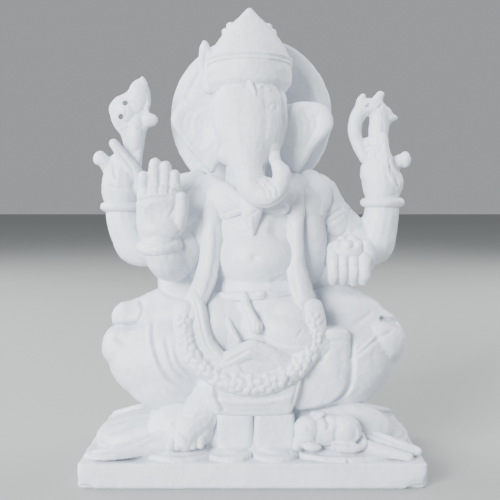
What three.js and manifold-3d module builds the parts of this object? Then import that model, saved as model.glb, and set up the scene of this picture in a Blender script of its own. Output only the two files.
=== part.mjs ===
// A seated marble Ganesha idol, carved from one block: slab, lotus seat, mouse, crossed legs in a
// dhoti, garland, torso, elephant head with crown and halo, and four arms with what they hold.
// Every carved element is its own solid, divided from its neighbours by a fine carved line.
// Millimetres, +Z up, the figure faces -Y, and the origin is the middle of the slab's underside.
// Right and left are the figure's own: its right is -X.
import * as THREE from "three";
import { mergeVertices } from "three/addons/utils/BufferGeometryUtils.js";
import Module from "manifold-3d";

const wasm = await Module();
wasm.setup();

// ---------------------------------------------------------------- driving dimensions

const CARVE_GAP = 0.3; // the carved line between two neighbouring elements

const SLAB_WIDTH = 214;
const SLAB_DEPTH = 118;
const SLAB_THICK = 16;
const SLAB_CORNER = 6; // radius of its upright corners
const SLAB_EDGE = 2.5; // chamfer along its edges

const SEAT_WIDTH = 136; // the lotus seat, where the legs rest on it
const SEAT_DEPTH = 84;
const SEAT_TALL = 30;
const SEAT_FLARE = 10; // how far its foot spreads and its waist draws in

const PETAL_THICK = 6;
const PETAL_MARGIN = 1.2; // from a short petal's tip to the slab's edge
const CORNER_PETAL_WIDE = 58;
const CORNER_PETAL_LONG = 60;
const CORNER_PETAL_LEAN = 18; // rise towards the seat, degrees

const MOUSE_LONG = 40; // from the nose to the haunch
const MOUSE_TALL = 20;

const KNEE_SPAN = 206; // over both knees
const KNEE_RADIUS = 33;
const LEG_DEPTH = 36; // half the thighs' depth
const LAP_RISE = 26; // the lap's middle above the seat

const BELLY_RISE = 69; // the belly's middle above the lap's
const BELLY_WIDTH = 74;
const BELLY_DEPTH = 70;
const BELLY_TALL = 56;
const CHEST_RISE = 31; // the chest's middle above the belly's
const CHEST_WIDTH = 84;
const SCARF_WIDTH = 16;
const SCARF_THICK = 9;
const GARLAND_RADIUS = 8;
const BELT_TALL = 7;
const SASH_RADIUS = 3.4;

const HEAD_RISE = 60; // the skull's middle above the chest's
const HEAD_WIDTH = 51;
const HEAD_DEPTH = 54;
const HEAD_TALL = 60;
const TRUNK_ROOT = 17; // radius where the trunk leaves the face
const TRUNK_TIP = 5.2;
const TUSK_RADIUS = 5;
const EAR_REACH = 31; // from the head to the ear's outermost point
const EAR_TALL = 49;
const EAR_THICK = 7;

const CROWN_TALL = 51;
const CROWN_RADIUS = 28;
const CROWN_BAND = 3.2; // height of each ring round the crown
const CROWN_LEAF_TALL = 30;
const CROWN_LEAF_WIDE = 34;
const HALO_RADIUS = 57;
const HALO_THICK = 9;

const REAR_REACH = 89; // from the middle to a rear hand
const ARM_RADIUS = 12.5;
const WRIST_RADIUS = 10.8;
const BANGLE_ROUND = 3.6;
const HAND_TALL = 36;
const EMBLEM_THICK = 12; // of the conch and the noose
const PALM_WIDTH = 30;
const FINGER_RADIUS = 4.1;
const BOWL_WIDTH = 26;

const BALL_FACETS = 10; // facets round a ball
const TUBE_FACETS = 7; // facets round a limb
const TURNED_FACETS = 20; // facets round the seat, crown and halo
const LARGE_BALL = 30; // a ball over this radius gets more facets
const PLATE_INSET = 1.5; // how far a plate's soft edge steps in from its outline

// ---------------------------------------------------------------- where things stand

const slabTop = SLAB_THICK;
const seatTop = slabTop + SEAT_TALL;
const lapZ = seatTop + LAP_RISE;
const bellyZ = lapZ + BELLY_RISE;
const chestZ = bellyZ + CHEST_RISE;
const headZ = chestZ + HEAD_RISE;
const crownFoot = headZ + HEAD_TALL / 2 - 7;
const frontEdge = -SLAB_DEPTH / 2;
const lapFront = -LEG_DEPTH - 5; // the front of the crossed legs
const bellyX = 3;
const bellyY = -3;
const headX = -1.5;
const headY = 1;
const faceY = headY - HEAD_DEPTH / 2;
const armY = 9; // the rear arms' middle plane
const shoulderX = CHEST_WIDTH / 2 - 2;
const shoulderZ = chestZ + 8;
const floorOfPetal = slabTop + PETAL_THICK + 2 * CARVE_GAP;

// ---------------------------------------------------------------- solids

const rad = THREE.MathUtils.degToRad;
const v3 = (p) => new THREE.Vector3(...p);

// A closed three.js geometry as a solid, with its shared vertices merged.
function solid(geometry) {
  const bare = geometry.clone();
  bare.deleteAttribute("normal");
  bare.deleteAttribute("uv");
  const merged = mergeVertices(bare, 1e-4);
  const index = merged.index.array;
  const faces = [];
  for (let i = 0; i < index.length; i += 3) {
    const [a, b, c] = [index[i], index[i + 1], index[i + 2]];
    if (a !== b && b !== c && c !== a) faces.push(a, b, c);
  }
  return new wasm.Manifold(
    new wasm.Mesh({
      numProp: 3,
      vertProperties: merged.attributes.position.array,
      triVerts: new Uint32Array(faces),
    }),
  );
}

// The same geometry with its faces turned round.
function flipped(geometry) {
  const index = geometry.index.array;
  for (let i = 0; i < index.length; i += 3) {
    [index[i + 1], index[i + 2]] = [index[i + 2], index[i + 1]];
  }
  return geometry;
}

const join = (...solids) => solids.reduce((all, one) => all.add(one));

// What stays when loose chips fall away: the largest body.
function mainBody(made) {
  const bodies = made.decompose();
  return bodies.reduce((big, one) => (one.volume() > big.volume() ? one : big));
}

function placed(geometry, at, turn = [0, 0, 0]) {
  const spin = new THREE.Quaternion().setFromEuler(new THREE.Euler(...turn.map(rad)));
  return geometry.applyMatrix4(new THREE.Matrix4().compose(v3(at), spin, new THREE.Vector3(1, 1, 1)));
}

// Every shape below takes `grow`, by which it is fatter all round: 0 for the element itself, and
// the carved gap when it cuts back a neighbour.

// An ellipsoid.
function ball(grow, at, radii, turn) {
  const more = Math.max(...radii) > LARGE_BALL ? 2 : 0;
  const shape = new THREE.SphereGeometry(1, BALL_FACETS + more, (BALL_FACETS + more) / 2);
  shape.rotateX(Math.PI / 2);
  shape.scale(...radii.map((r) => r + grow));
  return solid(placed(shape, at, turn));
}

// A round-ended limb along a smooth curve through its stops, each [x, y, z, radius]. Its section is
// a circle, or with `wide` an oval that is that many times wider along X.
function limb(grow, stops, wide = 0) {
  const path = stops.map(([x, y, z]) => new THREE.Vector3(x, y, z));
  const curve = new THREE.CatmullRomCurve3(path, false, "centripetal");
  const steps = stops.length > 2 ? (stops.length - 1) * 2 : 1;
  const frames = curve.computeFrenetFrames(steps);
  const rings = [];
  const addRing = (centre, k, radius) => {
    let side = frames.normals[k];
    let front = frames.binormals[k];
    if (wide) {
      front = new THREE.Vector3().crossVectors(frames.tangents[k], new THREE.Vector3(1, 0, 0));
      front.normalize();
      side = new THREE.Vector3().crossVectors(front, frames.tangents[k]);
    }
    rings.push({ centre, side, front, radius });
  };
  for (let k = 0; k <= steps; k++) {
    const u = k / steps;
    const spot = curve.getUtoTmapping(u) * (stops.length - 1);
    const before = Math.min(Math.floor(spot), stops.length - 2);
    const drawn = THREE.MathUtils.lerp(stops[before][3], stops[before + 1][3], spot - before);
    const radius = drawn + grow;
    const centre = curve.getPointAt(u);
    const beyond = (share) => centre.clone().addScaledVector(frames.tangents[k], radius * share);
    if (k === 0) addRing(beyond(-1), k, 0);
    if (k === 0) addRing(beyond(-0.7), k, radius * 0.7);
    addRing(centre, k, radius);
    if (k === steps) addRing(beyond(0.7), k, radius * 0.7);
    if (k === steps) addRing(beyond(1), k, 0);
  }
  const profile = rings.map((ring, i) => new THREE.Vector2(ring.radius, i));
  const shape = new THREE.LatheGeometry(profile, TUBE_FACETS);
  const spots = shape.attributes.position;
  for (let i = 0; i < spots.count; i++) {
    const { centre, side, front } = rings[Math.round(spots.getY(i))];
    const spot = centre.clone();
    spot.addScaledVector(side, spots.getX(i) * (wide || 1));
    spot.addScaledVector(front, spots.getZ(i));
    spots.setXYZ(i, spot.x, spot.y, spot.z);
  }
  const made = solid(shape);
  return made.volume() < 0 ? solid(flipped(shape)) : made;
}

// A solid turned round the Z axis from [radius, height] pairs that start and end on the axis.
function turned(grow, profile, at, turn = [0, 0, 0], flat = 1) {
  const low = profile[0][1];
  const high = profile[profile.length - 1][1];
  const points = profile.flatMap(([r, h]) => {
    const end = h === low ? -grow : h === high ? grow : 0;
    if (r === 0) return [new THREE.Vector2(0, h + end)];
    const rim = [new THREE.Vector2(r + grow, h)];
    if (end < 0) rim.unshift(new THREE.Vector2(r + grow, h + end));
    if (end > 0) rim.push(new THREE.Vector2(r + grow, h + end));
    return rim;
  });
  const shape = new THREE.LatheGeometry(points, TURNED_FACETS);
  shape.rotateX(Math.PI / 2);
  shape.scale(1, flat, 1);
  return solid(placed(shape, at, turn));
}

// A ring of round section about the Z axis.
function ring(grow, at, radius, round, turn) {
  const shape = new THREE.TorusGeometry(radius, round + grow, TUBE_FACETS, BALL_FACETS + 4);
  return solid(placed(shape, at, turn));
}

// A smooth outline through its [x, y] points, extruded evenly to both sides, with soft edges.
function plate(grow, outline, thick, soft) {
  const path = outline.map(([x, y]) => new THREE.Vector3(x, y, 0));
  const curve = new THREE.CatmullRomCurve3(path, true, "centripetal");
  const points = curve.getPoints(path.length * 2).slice(0, -1);
  const shape = new THREE.Shape(points.map((p) => new THREE.Vector2(p.x, p.y)));
  const inset = Math.min(soft, PLATE_INSET);
  const made = new THREE.ExtrudeGeometry(shape, {
    depth: thick - 2 * soft,
    bevelThickness: soft + grow,
    bevelSize: inset + grow,
    bevelOffset: -inset,
    bevelSegments: 1,
  });
  made.translate(0, 0, -(thick - 2 * soft) / 2);
  return made;
}

// A plate that stands upright, facing -Y: its outline is given in x and z.
function upright(grow, outline, y, thick, soft) {
  const made = plate(grow, outline, thick, soft);
  made.rotateX(Math.PI / 2);
  made.translate(0, y, 0);
  return solid(made);
}

// A box with round corners and chamfered edges, standing on its middle.
function block(grow, at, size, corner, edge) {
  const [w, d] = [size[0] / 2, size[1] / 2];
  const shape = new THREE.Shape();
  shape.moveTo(-w + corner, -d);
  shape.lineTo(w - corner, -d);
  shape.absarc(w - corner, -d + corner, corner, -Math.PI / 2, 0);
  shape.absarc(w - corner, d - corner, corner, 0, Math.PI / 2);
  shape.absarc(-w + corner, d - corner, corner, Math.PI / 2, Math.PI);
  shape.absarc(-w + corner, -d + corner, corner, Math.PI, 1.5 * Math.PI);
  const made = new THREE.ExtrudeGeometry(shape, {
    depth: size[2] - 2 * edge,
    bevelThickness: edge + grow,
    bevelSize: edge + grow,
    bevelOffset: -edge,
    bevelSegments: 1,
    curveSegments: 2,
  });
  made.translate(0, 0, edge - size[2] / 2);
  return solid(placed(made, at));
}

// ---------------------------------------------------------------- slab and lotus seat

const slab = (grow) =>
  block(grow, [0, 0, SLAB_THICK / 2], [SLAB_WIDTH, SLAB_DEPTH, SLAB_THICK], SLAB_CORNER, SLAB_EDGE);

const lotusSeat = (grow) => {
  const half = SEAT_WIDTH / 2;
  return turned(
    grow,
    [
      [0, 0],
      [half + SEAT_FLARE, 0],
      [half + SEAT_FLARE * 0.4, SEAT_TALL * 0.3],
      [half - SEAT_FLARE, SEAT_TALL * 0.7],
      [half, SEAT_TALL],
      [0, SEAT_TALL],
    ],
    [0, 0, slabTop + CARVE_GAP],
    [0, 0, 0],
    SEAT_DEPTH / SEAT_WIDTH,
  );
};

// A petal seen from above: rounded at its tip, straight where it tucks under the seat.
function petalOutline(width, length) {
  const half = width / 2;
  return [
    [-half * 0.72, 0],
    [-half, length * 0.45],
    [-half * 0.8, length * 0.85],
    [0, length],
    [half * 0.8, length * 0.85],
    [half, length * 0.45],
    [half * 0.72, 0],
  ];
}

// A petal that points along `heading` degrees (0 is -Y), its root lifted to lean on the seat.
function petal(grow, root, heading, width, length, lean) {
  const made = plate(grow, petalOutline(width, length), PETAL_THICK, 1.8);
  made.rotateX(-rad(lean));
  made.rotateZ(Math.PI - rad(heading));
  const drop = length * Math.sin(rad(lean));
  made.translate(root[0], root[1], slabTop + CARVE_GAP + PETAL_THICK / 2 + drop);
  return solid(made);
}

// The short petals along the front and the back: a lip flat on the slab, under an upright panel.
function shortPetal(grow, x, width, tall, side) {
  const tip = SLAB_DEPTH / 2 - PETAL_MARGIN;
  const root = SEAT_DEPTH / 2 - 16;
  const lip = petal(grow, [x, side * root], side < 0 ? 0 : 180, width, tip - root, 0);
  const panelY = side * (SEAT_DEPTH / 2 + 1);
  const panelHigh = PETAL_THICK - CARVE_GAP + tall;
  const panelZ = slabTop + CARVE_GAP + panelHigh / 2;
  return join(lip, block(grow, [x, panelY, panelZ], [width * 0.86, 10, panelHigh], 3, 2));
}

// Each short petal's place along X, its width and its panel's height.
const panelTall = SEAT_TALL - PETAL_THICK;
const seatShare = (share) => share * SEAT_WIDTH;
const FRONT_PETALS = [
  [seatShare(-0.3), 38, panelTall * 0.3],
  [seatShare(-0.074), 25, panelTall],
  [seatShare(0.114), 25, panelTall],
  [seatShare(0.368), 42, panelTall * 0.5],
];
const BACK_PETALS = [-0.34, 0, 0.34].map((share) => [seatShare(share), 44, panelTall]);

function cornerPetal(grow, side) {
  const root = [side * seatShare(0.353), -12];
  return petal(grow, root, -side * 118, CORNER_PETAL_WIDE, CORNER_PETAL_LONG, CORNER_PETAL_LEAN);
}

// ---------------------------------------------------------------- on the petals: mouse and foot

// The mouse lies on the last front petal and looks towards the middle.
const mouse = (grow) => {
  const at = (x, y, z) => [
    seatShare(0.36) + (x * MOUSE_LONG) / 40,
    frontEdge + 14 + y,
    floorOfPetal + (z * MOUSE_TALL) / 20,
  ];
  return join(
    ball(grow, at(6, 1, 9), [MOUSE_LONG * 0.42, 9, MOUSE_TALL * 0.48]),
    ball(grow, at(-10, -1, 10), [MOUSE_LONG * 0.27, 8, MOUSE_TALL * 0.45], [0, -20, 0]),
    limb(grow, [
      [...at(-10, -3, 8), 6.5],
      [...at(-20, -4, 5), 3.5],
    ]),
    ball(grow, at(-3, -3, 17), [4, 3, 5]),
    limb(grow, [
      [...at(19, -3, 4.5), 2.4],
      [...at(12, -9, 2.6), 2.3],
      [...at(2, -9, 2.4), 2],
    ]),
  );
};

// The figure's right foot hangs from the crossed legs and stands on the first front petal.
const hangingFoot = (grow) => {
  const at = (x, y, z) => [seatShare(-0.287) + x, frontEdge + 13 + y, floorOfPetal + z];
  const toes = [0, 1, 2, 3, 4].map((i) =>
    limb(grow, [
      [...at(-10 + i * 4.6, 0, 5), 3.4],
      [...at(-12.5 + i * 5.4, -7 + i * 0.6, 3.4), 3.1 - i * 0.12],
    ]),
  );
  const instep = limb(grow, [
    [...at(1, 16, 17), 11],
    [...at(-1, 6, 9), 10],
    [...at(-2, -2, 6), 7],
  ]);
  return join(instep, ...toes);
};

// ---------------------------------------------------------------- legs and dhoti

const kneeX = KNEE_SPAN / 2 - KNEE_RADIUS;

const lap = (grow) =>
  join(
    ball(grow, [2, -4, lapZ + 2], [kneeX - 6, LEG_DEPTH + 8, 33]),
    ball(grow, [2, 4, lapZ + 14], [kneeX - 18, LEG_DEPTH - 2, 26]),
    ball(grow, [2, -10, lapZ - 8], [kneeX - 20, LEG_DEPTH + 2, 20]),
  );

// side is -1 for the right leg and 1 for the left. A long fold of cloth runs over the knee.
function leg(grow, side) {
  const lift = side > 0 ? 2 : 0;
  return join(
    ball(grow, [side * kneeX, -6, lapZ + 14 + lift], [KNEE_RADIUS, LEG_DEPTH - 2, 29]),
    ball(grow, [side * (kneeX - 18), -9, lapZ - 3 + lift], [KNEE_RADIUS + 7, LEG_DEPTH + 1, 34]),
    ball(grow, [side * (kneeX - 24), 0, lapZ + 24 + lift], [KNEE_RADIUS + 9, LEG_DEPTH, 26]),
    limb(grow, [
      [side * (kneeX - 12), lapFront + 3, lapZ + 14, 4],
      [side * (kneeX - 2), lapFront + 6, lapZ + 23, 5],
      [side * (kneeX + 18), lapFront + 23, lapZ + 27, 4],
    ]),
  );
}

const foldedShin = (grow) =>
  limb(grow, [
    [kneeX - 12, lapFront + 7, lapZ + 10, 14],
    [kneeX - 36, lapFront - 1, lapZ + 12, 12],
    [10, lapFront - 1, lapZ + 14, 10],
    [-6, lapFront - 2, lapZ + 14, 9],
    [-18, lapFront - 3, lapZ + 8, 8],
    [-27, lapFront - 2, lapZ + 3, 6],
  ]);

// The pleated cloth that hangs from the crossed legs to the seat's front.
const apron = (grow) =>
  upright(
    grow,
    [
      [-19, seatTop],
      [25, seatTop + 2],
      [28, lapZ - 2],
      [24, lapZ + 8],
      [-20, lapZ + 8],
      [-23, lapZ - 4],
    ],
    lapFront - 4,
    14,
    3,
  );

// The smooth cloth under the left knee.
const sidePanel = (grow) =>
  upright(
    grow,
    [
      [0.41 * kneeX, seatTop + 3],
      [0.81 * kneeX, seatTop + 8],
      [0.91 * kneeX, lapZ],
      [0.9 * kneeX, lapZ + 24],
      [0.57 * kneeX, lapZ + 26],
      [0.47 * kneeX, lapZ + 4],
    ],
    lapFront,
    12,
    3,
  );

// Two tassels that hang from the belt over the crossed legs.
const beltZ = bellyZ - BELLY_TALL / 2 + 1;
const sash = (grow) =>
  join(
    limb(grow, [
      [-4, lapFront + 5, beltZ, SASH_RADIUS],
      [-1, lapFront - 2, (beltZ + lapZ + 26) / 2, SASH_RADIUS],
      [3, lapFront - 6, lapZ + 26, SASH_RADIUS + 1.6],
    ]),
    limb(grow, [
      [-5, lapFront + 3, beltZ - 2, SASH_RADIUS - 0.4],
      [-12, lapFront - 4, lapZ + 25, SASH_RADIUS - 0.6],
      [-9, lapFront - 7, lapZ + 17, SASH_RADIUS],
    ]),
  );

// ---------------------------------------------------------------- torso

const belly = (grow) =>
  join(
    ball(grow, [bellyX, bellyY, bellyZ], [BELLY_WIDTH / 2, BELLY_DEPTH / 2, BELLY_TALL / 2]),
    ball(
      grow,
      [bellyX - 1, bellyY + 11, bellyZ - BELLY_TALL * 0.29],
      [BELLY_WIDTH / 2 + 6, BELLY_DEPTH / 2 - 4, BELLY_TALL / 2],
    ),
  );

// Where the belly's front is, at a height above its middle.
function bellyFront(rise) {
  const share = Math.min(1, Math.abs(rise) / (BELLY_TALL / 2));
  return bellyY - (BELLY_DEPTH / 2) * (0.55 + 0.45 * Math.sqrt(1 - share * share));
}

const chest = (grow) =>
  join(
    ball(grow, [bellyX - 1, bellyY + 12, chestZ], [CHEST_WIDTH / 2, 23, 21]),
    ball(grow, [bellyX - 16, bellyY - 3, chestZ + 2], [17, 14, 15]),
    ball(grow, [bellyX + 16, bellyY - 3, chestZ + 2], [17, 14, 15]),
    limb(grow, [
      [headX, headY + 12, chestZ + 12, HEAD_WIDTH * 0.39],
      [headX, headY + 8, headZ - 32, HEAD_WIDTH * 0.33],
    ]),
  );

const belt = (grow) =>
  turned(
    grow,
    [
      [0, -BELT_TALL / 2 - 0.5],
      [BELLY_WIDTH / 2 + 5, -BELT_TALL / 2],
      [BELLY_WIDTH / 2 + 7, 0],
      [BELLY_WIDTH / 2 + 5, BELT_TALL / 2],
      [0, BELT_TALL / 2 + 0.5],
    ],
    [bellyX, bellyY + 1, beltZ],
    [4, 0, 0],
    (BELLY_DEPTH - 6) / BELLY_WIDTH,
  );

const pendant = (grow) =>
  upright(
    grow,
    [
      [-7, 3],
      [0, 6],
      [7, 3],
      [6, -6],
      [1, -15],
      [-5, -6],
    ].map(([x, z]) => [bellyX - 1 + x, chestZ - 3 + z]),
    bellyY - 24,
    12,
    2.5,
  );

const necklace = (grow) =>
  limb(
    grow,
    [
      [-30, -2, 12, 4.5],
      [-22, -16, -4, 5],
      [-8, -24, -10, 4],
      [8, -24, -10, 4],
      [22, -16, -4, 5],
      [30, -2, 12, 4.5],
    ].map(([x, y, z, r]) => [bellyX + x, bellyY + y, chestZ + z, r]),
  );

// ---------------------------------------------------------------- garland: two bands and a loop

// A band hangs from the shoulder over the belly to the garland's loop on the lap.
function scarf(grow, side) {
  const half = SCARF_THICK / 2;
  const spread = [side < 0 ? 30 : 26, side < 0 ? 32 : 26, side < 0 ? 35 : 28];
  const loopTop = lapZ + 31;
  const stops = [
    [spread[0], bellyFront(BELLY_TALL / 2) + 8, shoulderZ],
    [spread[1], bellyFront(14) + 11, bellyZ + 14],
    [spread[2], bellyFront(-4) + 9, bellyZ - 4],
    [spread[2] + 5, lapFront + 8, bellyZ - 24],
    [spread[2] + 9, lapFront + 3, loopTop],
  ];
  return limb(
    grow,
    stops.map(([x, y, z]) => [bellyX + side * x, y, z, half]),
    SCARF_WIDTH / SCARF_THICK,
  );
}

const garlandLoop = (grow) =>
  limb(
    grow,
    [
      [-41, 0, 24, -0.5],
      [-37, -4, 14, -0.5],
      [-26, -7, 1, 0],
      [-10, -9, -8, 0.3],
      [8, -9, -9, 0.3],
      [25, -8.5, -2, 0],
      [37, -6, 10, -0.5],
      [41, -2, 24, -0.5],
    ].map(([x, y, z, r]) => [x, lapFront + y, lapZ + z, GARLAND_RADIUS + r]),
  );

// ---------------------------------------------------------------- head

const head = (grow) =>
  join(
    ball(grow, [headX, headY + 2, headZ - 1], [HEAD_WIDTH / 2, HEAD_DEPTH / 2, HEAD_TALL / 2]),
    ball(
      grow,
      [headX, headY - 2, headZ - HEAD_TALL * 0.35],
      [HEAD_WIDTH / 2 - 5, HEAD_DEPTH / 2 - 4, HEAD_TALL / 3],
    ),
  );

// The trunk falls from the face and curls up to the figure's left. Each stop is an offset from the
// face, and how much of the root's radius is left.
const trunk = (grow) =>
  limb(
    grow,
    [
      [-0.5, 5, -9, 1],
      [-1.5, -2, -24, 0.78],
      [0.5, -7, -37, 0.5],
      [3, -11, -47, 0.38],
      [9, -14, -52, 0.3],
      [15.5, -16, -50, 0.22],
      [19, -17, -43, 0.12],
      [18.5, -18, -36, 0],
    ].map(([x, y, z, share]) => [
      headX + x,
      faceY + y,
      headZ + z,
      TRUNK_TIP + (TRUNK_ROOT - TRUNK_TIP) * share,
    ]),
  );

// The right tusk is broken short; the left one is whole.
const tuskRight = (grow) =>
  limb(grow, [
    [headX - 11, faceY + 7, headZ - 24, TUSK_RADIUS],
    [headX - 16, faceY - 2, headZ - 29.5, TUSK_RADIUS * 0.8],
  ]);
const tuskLeft = (grow) =>
  limb(grow, [
    [headX + 14, faceY + 9, headZ - 21, TUSK_RADIUS],
    [headX + 15.5, faceY - 4, headZ - 26, TUSK_RADIUS * 0.76],
  ]);

// An ear's outline: shares of its reach outward from the head and of its height from its middle.
const EAR_OUTLINE = [
  [0, 0.31],
  [0.16, 0.43],
  [0.45, 0.5],
  [0.71, 0.46],
  [0.92, 0.33],
  [1, 0.15],
  [0.81, -0.06],
  [0.58, -0.26],
  [0.29, -0.4],
  [0.1, -0.5],
  [0, -0.28],
];
const ear = (grow, side) =>
  upright(
    grow,
    EAR_OUTLINE.map(([out, up]) => [
      headX + side * (HEAD_WIDTH / 2 - 3 + out * EAR_REACH),
      headZ - 10.5 + up * EAR_TALL,
    ]),
    headY + 7,
    EAR_THICK,
    2.2,
  );

const foreheadMark = (grow) =>
  upright(
    grow,
    [
      [0, 9],
      [4, 2],
      [3.4, -5],
      [0, -8],
      [-3.4, -5],
      [-4, 2],
    ].map(([x, z]) => [headX + 1 + x, headZ + 14 + z]),
    faceY + 2.5,
    7,
    1.4,
  );

// ---------------------------------------------------------------- crown and halo

const crownDeep = (HEAD_DEPTH - 1) / (2 * CROWN_RADIUS); // depth over width
const crownAt = (z) => [headX - 0.5, headY + 2, crownFoot + z];

const crownCap = (grow) =>
  turned(
    grow,
    [
      [0, 0],
      [CROWN_RADIUS, 0],
      [CROWN_RADIUS * 0.98, CROWN_TALL * 0.22],
      [CROWN_RADIUS * 0.84, CROWN_TALL * 0.5],
      [CROWN_RADIUS * 0.57, CROWN_TALL * 0.72],
      [CROWN_RADIUS * 0.29, CROWN_TALL * 0.88],
      [0, CROWN_TALL],
    ],
    crownAt(0),
    [0, 0, 0],
    crownDeep,
  );

const crownRim = (grow) =>
  turned(
    grow,
    [
      [0, -CROWN_BAND * 1.44],
      [CROWN_RADIUS + 0.4, -CROWN_BAND * 1.44],
      [CROWN_RADIUS + 1.8, 0],
      [CROWN_RADIUS + 0.4, CROWN_BAND * 1.44],
      [0, CROWN_BAND * 1.44],
    ],
    crownAt(2.5),
    [-6, 0, 0],
    crownDeep,
  );

// Two thin rings, one above the other, as one piece.
const crownBands = (grow) =>
  turned(
    grow,
    [
      [0, -CROWN_BAND],
      [CROWN_RADIUS - 0.6, -CROWN_BAND],
      [CROWN_RADIUS + 0.6, -CROWN_BAND / 2],
      [CROWN_RADIUS - 0.8, 0],
      [CROWN_RADIUS, CROWN_BAND / 2],
      [CROWN_RADIUS - 1, CROWN_BAND],
      [0, CROWN_BAND],
    ],
    crownAt(14),
    [0, 0, 0],
    crownDeep,
  );

// The pointed leaf that leans back against the crown's front.
const crownLeaf = (grow) => {
  const outline = [
    [-0.5, 0],
    [-0.46, 0.35],
    [-0.2, 0.78],
    [0, 1],
    [0.2, 0.78],
    [0.46, 0.35],
    [0.5, 0],
  ].map(([x, y]) => [x * CROWN_LEAF_WIDE, CROWN_BAND * 5.3 + y * CROWN_LEAF_TALL]);
  const made = plate(grow, outline, 6, 1.8);
  made.rotateX(Math.PI / 2 - rad(34));
  made.translate(headX - 0.5, headY - 3 - CROWN_RADIUS, crownFoot + 4);
  return solid(made);
};

// The flame-shaped crest that stands at the crown's right side.
const sideCrest = (grow) =>
  upright(
    grow,
    [
      [-6, -6],
      [-7.5, 10],
      [-6, 26],
      [-3, 32],
      [1, 27],
      [4, 20],
      [4, 0],
      [0, -8],
    ].map(([x, z]) => [headX - CROWN_RADIUS + x, crownFoot + z]),
    headY + 5,
    10,
    3,
  );

const halo = (grow) =>
  turned(
    grow,
    [
      [0, 0],
      [HALO_RADIUS - 2, 0],
      [HALO_RADIUS, 2],
      [HALO_RADIUS, HALO_THICK - 2],
      [HALO_RADIUS - 2, HALO_THICK],
      [0, HALO_THICK],
    ],
    [headX + 1, headY + HEAD_DEPTH / 2 - 1 + HALO_THICK, headZ + 4],
    [90, 0, 0],
  );

// ---------------------------------------------------------------- arms

const shoulder = (grow, side) =>
  ball(grow, [bellyX - 1 + side * shoulderX, armY, shoulderZ], [17, 16, 16]);

const armlet = (grow) =>
  limb(grow, [
    [bellyX + shoulderX + 4, armY - 1, shoulderZ - 6, ARM_RADIUS + 3.5],
    [bellyX + shoulderX + 9, armY - 1, shoulderZ - 13, ARM_RADIUS + 2.5],
  ]);

// Stops are [outward, y, above the belly's middle, radius].
const arm = (grow, side, stops) =>
  limb(
    grow,
    stops.map(([x, y, z, r]) => [side * x, y, bellyZ + z, r]),
  );

const wristRise = 34; // of the rear wrists above the belly's middle
const rearRightArm = (grow) =>
  arm(grow, -1, [
    [shoulderX + 8, armY + 2, wristRise - 2, ARM_RADIUS + 0.5],
    [REAR_REACH - 16, armY, 1, ARM_RADIUS + 0.5],
    [REAR_REACH - 7, armY, wristRise - 20, ARM_RADIUS],
    [REAR_REACH, armY - 1, wristRise - 1, WRIST_RADIUS],
    [REAR_REACH, armY - 1, wristRise + 8, WRIST_RADIUS],
  ]);
const rearLeftArm = (grow) =>
  arm(grow, 1, [
    [shoulderX + 14, armY + 2, wristRise - 6, ARM_RADIUS + 0.5],
    [REAR_REACH - 11, armY, 8, ARM_RADIUS + 2],
    [REAR_REACH - 3, armY, wristRise - 16, ARM_RADIUS],
    [REAR_REACH, armY - 1, wristRise - 1, WRIST_RADIUS],
    [REAR_REACH, armY - 1, wristRise + 8, WRIST_RADIUS],
  ]);

const palmX = -59;
const palmY = lapFront + 8;
const bowlX = 62;
const frontRightArm = (grow) =>
  arm(grow, -1, [
    [shoulderX + 4, 3, 26, ARM_RADIUS],
    [-palmX - 5, -6, -11, ARM_RADIUS + 1.5],
    [-palmX - 2, -18, -8, ARM_RADIUS + 1.5],
    [-palmX, palmY + 3, 10, ARM_RADIUS],
  ]);
const frontLeftArm = (grow) =>
  arm(grow, 1, [
    [shoulderX + 8, 2, 22, ARM_RADIUS - 1],
    [bowlX - 8, -2, -4, ARM_RADIUS - 1],
    [bowlX - 2, -18, -6, ARM_RADIUS - 2],
  ]);

// A round bangle, filled by a thin disc so that it parts the arm from the hand.
const bangle = (grow, at, radius, turn) =>
  join(ring(grow, at, radius, BANGLE_ROUND, turn), ball(grow, at, [radius, radius, 2.2], turn));

const wristZ = bellyZ + wristRise;
const rearRightBangle = (grow) =>
  bangle(grow, [-REAR_REACH, armY - 1, wristZ - 2], WRIST_RADIUS + 0.4);
const rearLeftBangle = (grow) =>
  bangle(grow, [REAR_REACH, armY - 1, wristZ + 1], WRIST_RADIUS + 1);
const frontRightBangle = (grow) =>
  bangle(grow, [palmX, palmY + 2, bellyZ + 7], ARM_RADIUS - 1, [28, 0, 0]);

// A closed hand round an emblem's stem, with its little finger held out.
const handFoot = wristZ + 6;
function rearHand(grow, side) {
  const at = (out, y, up) => [side * (REAR_REACH + out), armY + y, handFoot + up];
  return join(
    ball(grow, at(0, -1, HAND_TALL / 3), [13.5, 11, HAND_TALL / 2]),
    limb(grow, [
      [...at(5, -2, 20), FINGER_RADIUS + 1.4],
      [...at(12.5, -2, 24), FINGER_RADIUS + 0.3],
    ]),
    limb(grow, [
      [...at(-9, -9, 14), FINGER_RADIUS + 0.5],
      [...at(-6, -10, 24), FINGER_RADIUS + 0.3],
      [...at(1, -8, 34), FINGER_RADIUS],
    ]),
  );
}

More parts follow.
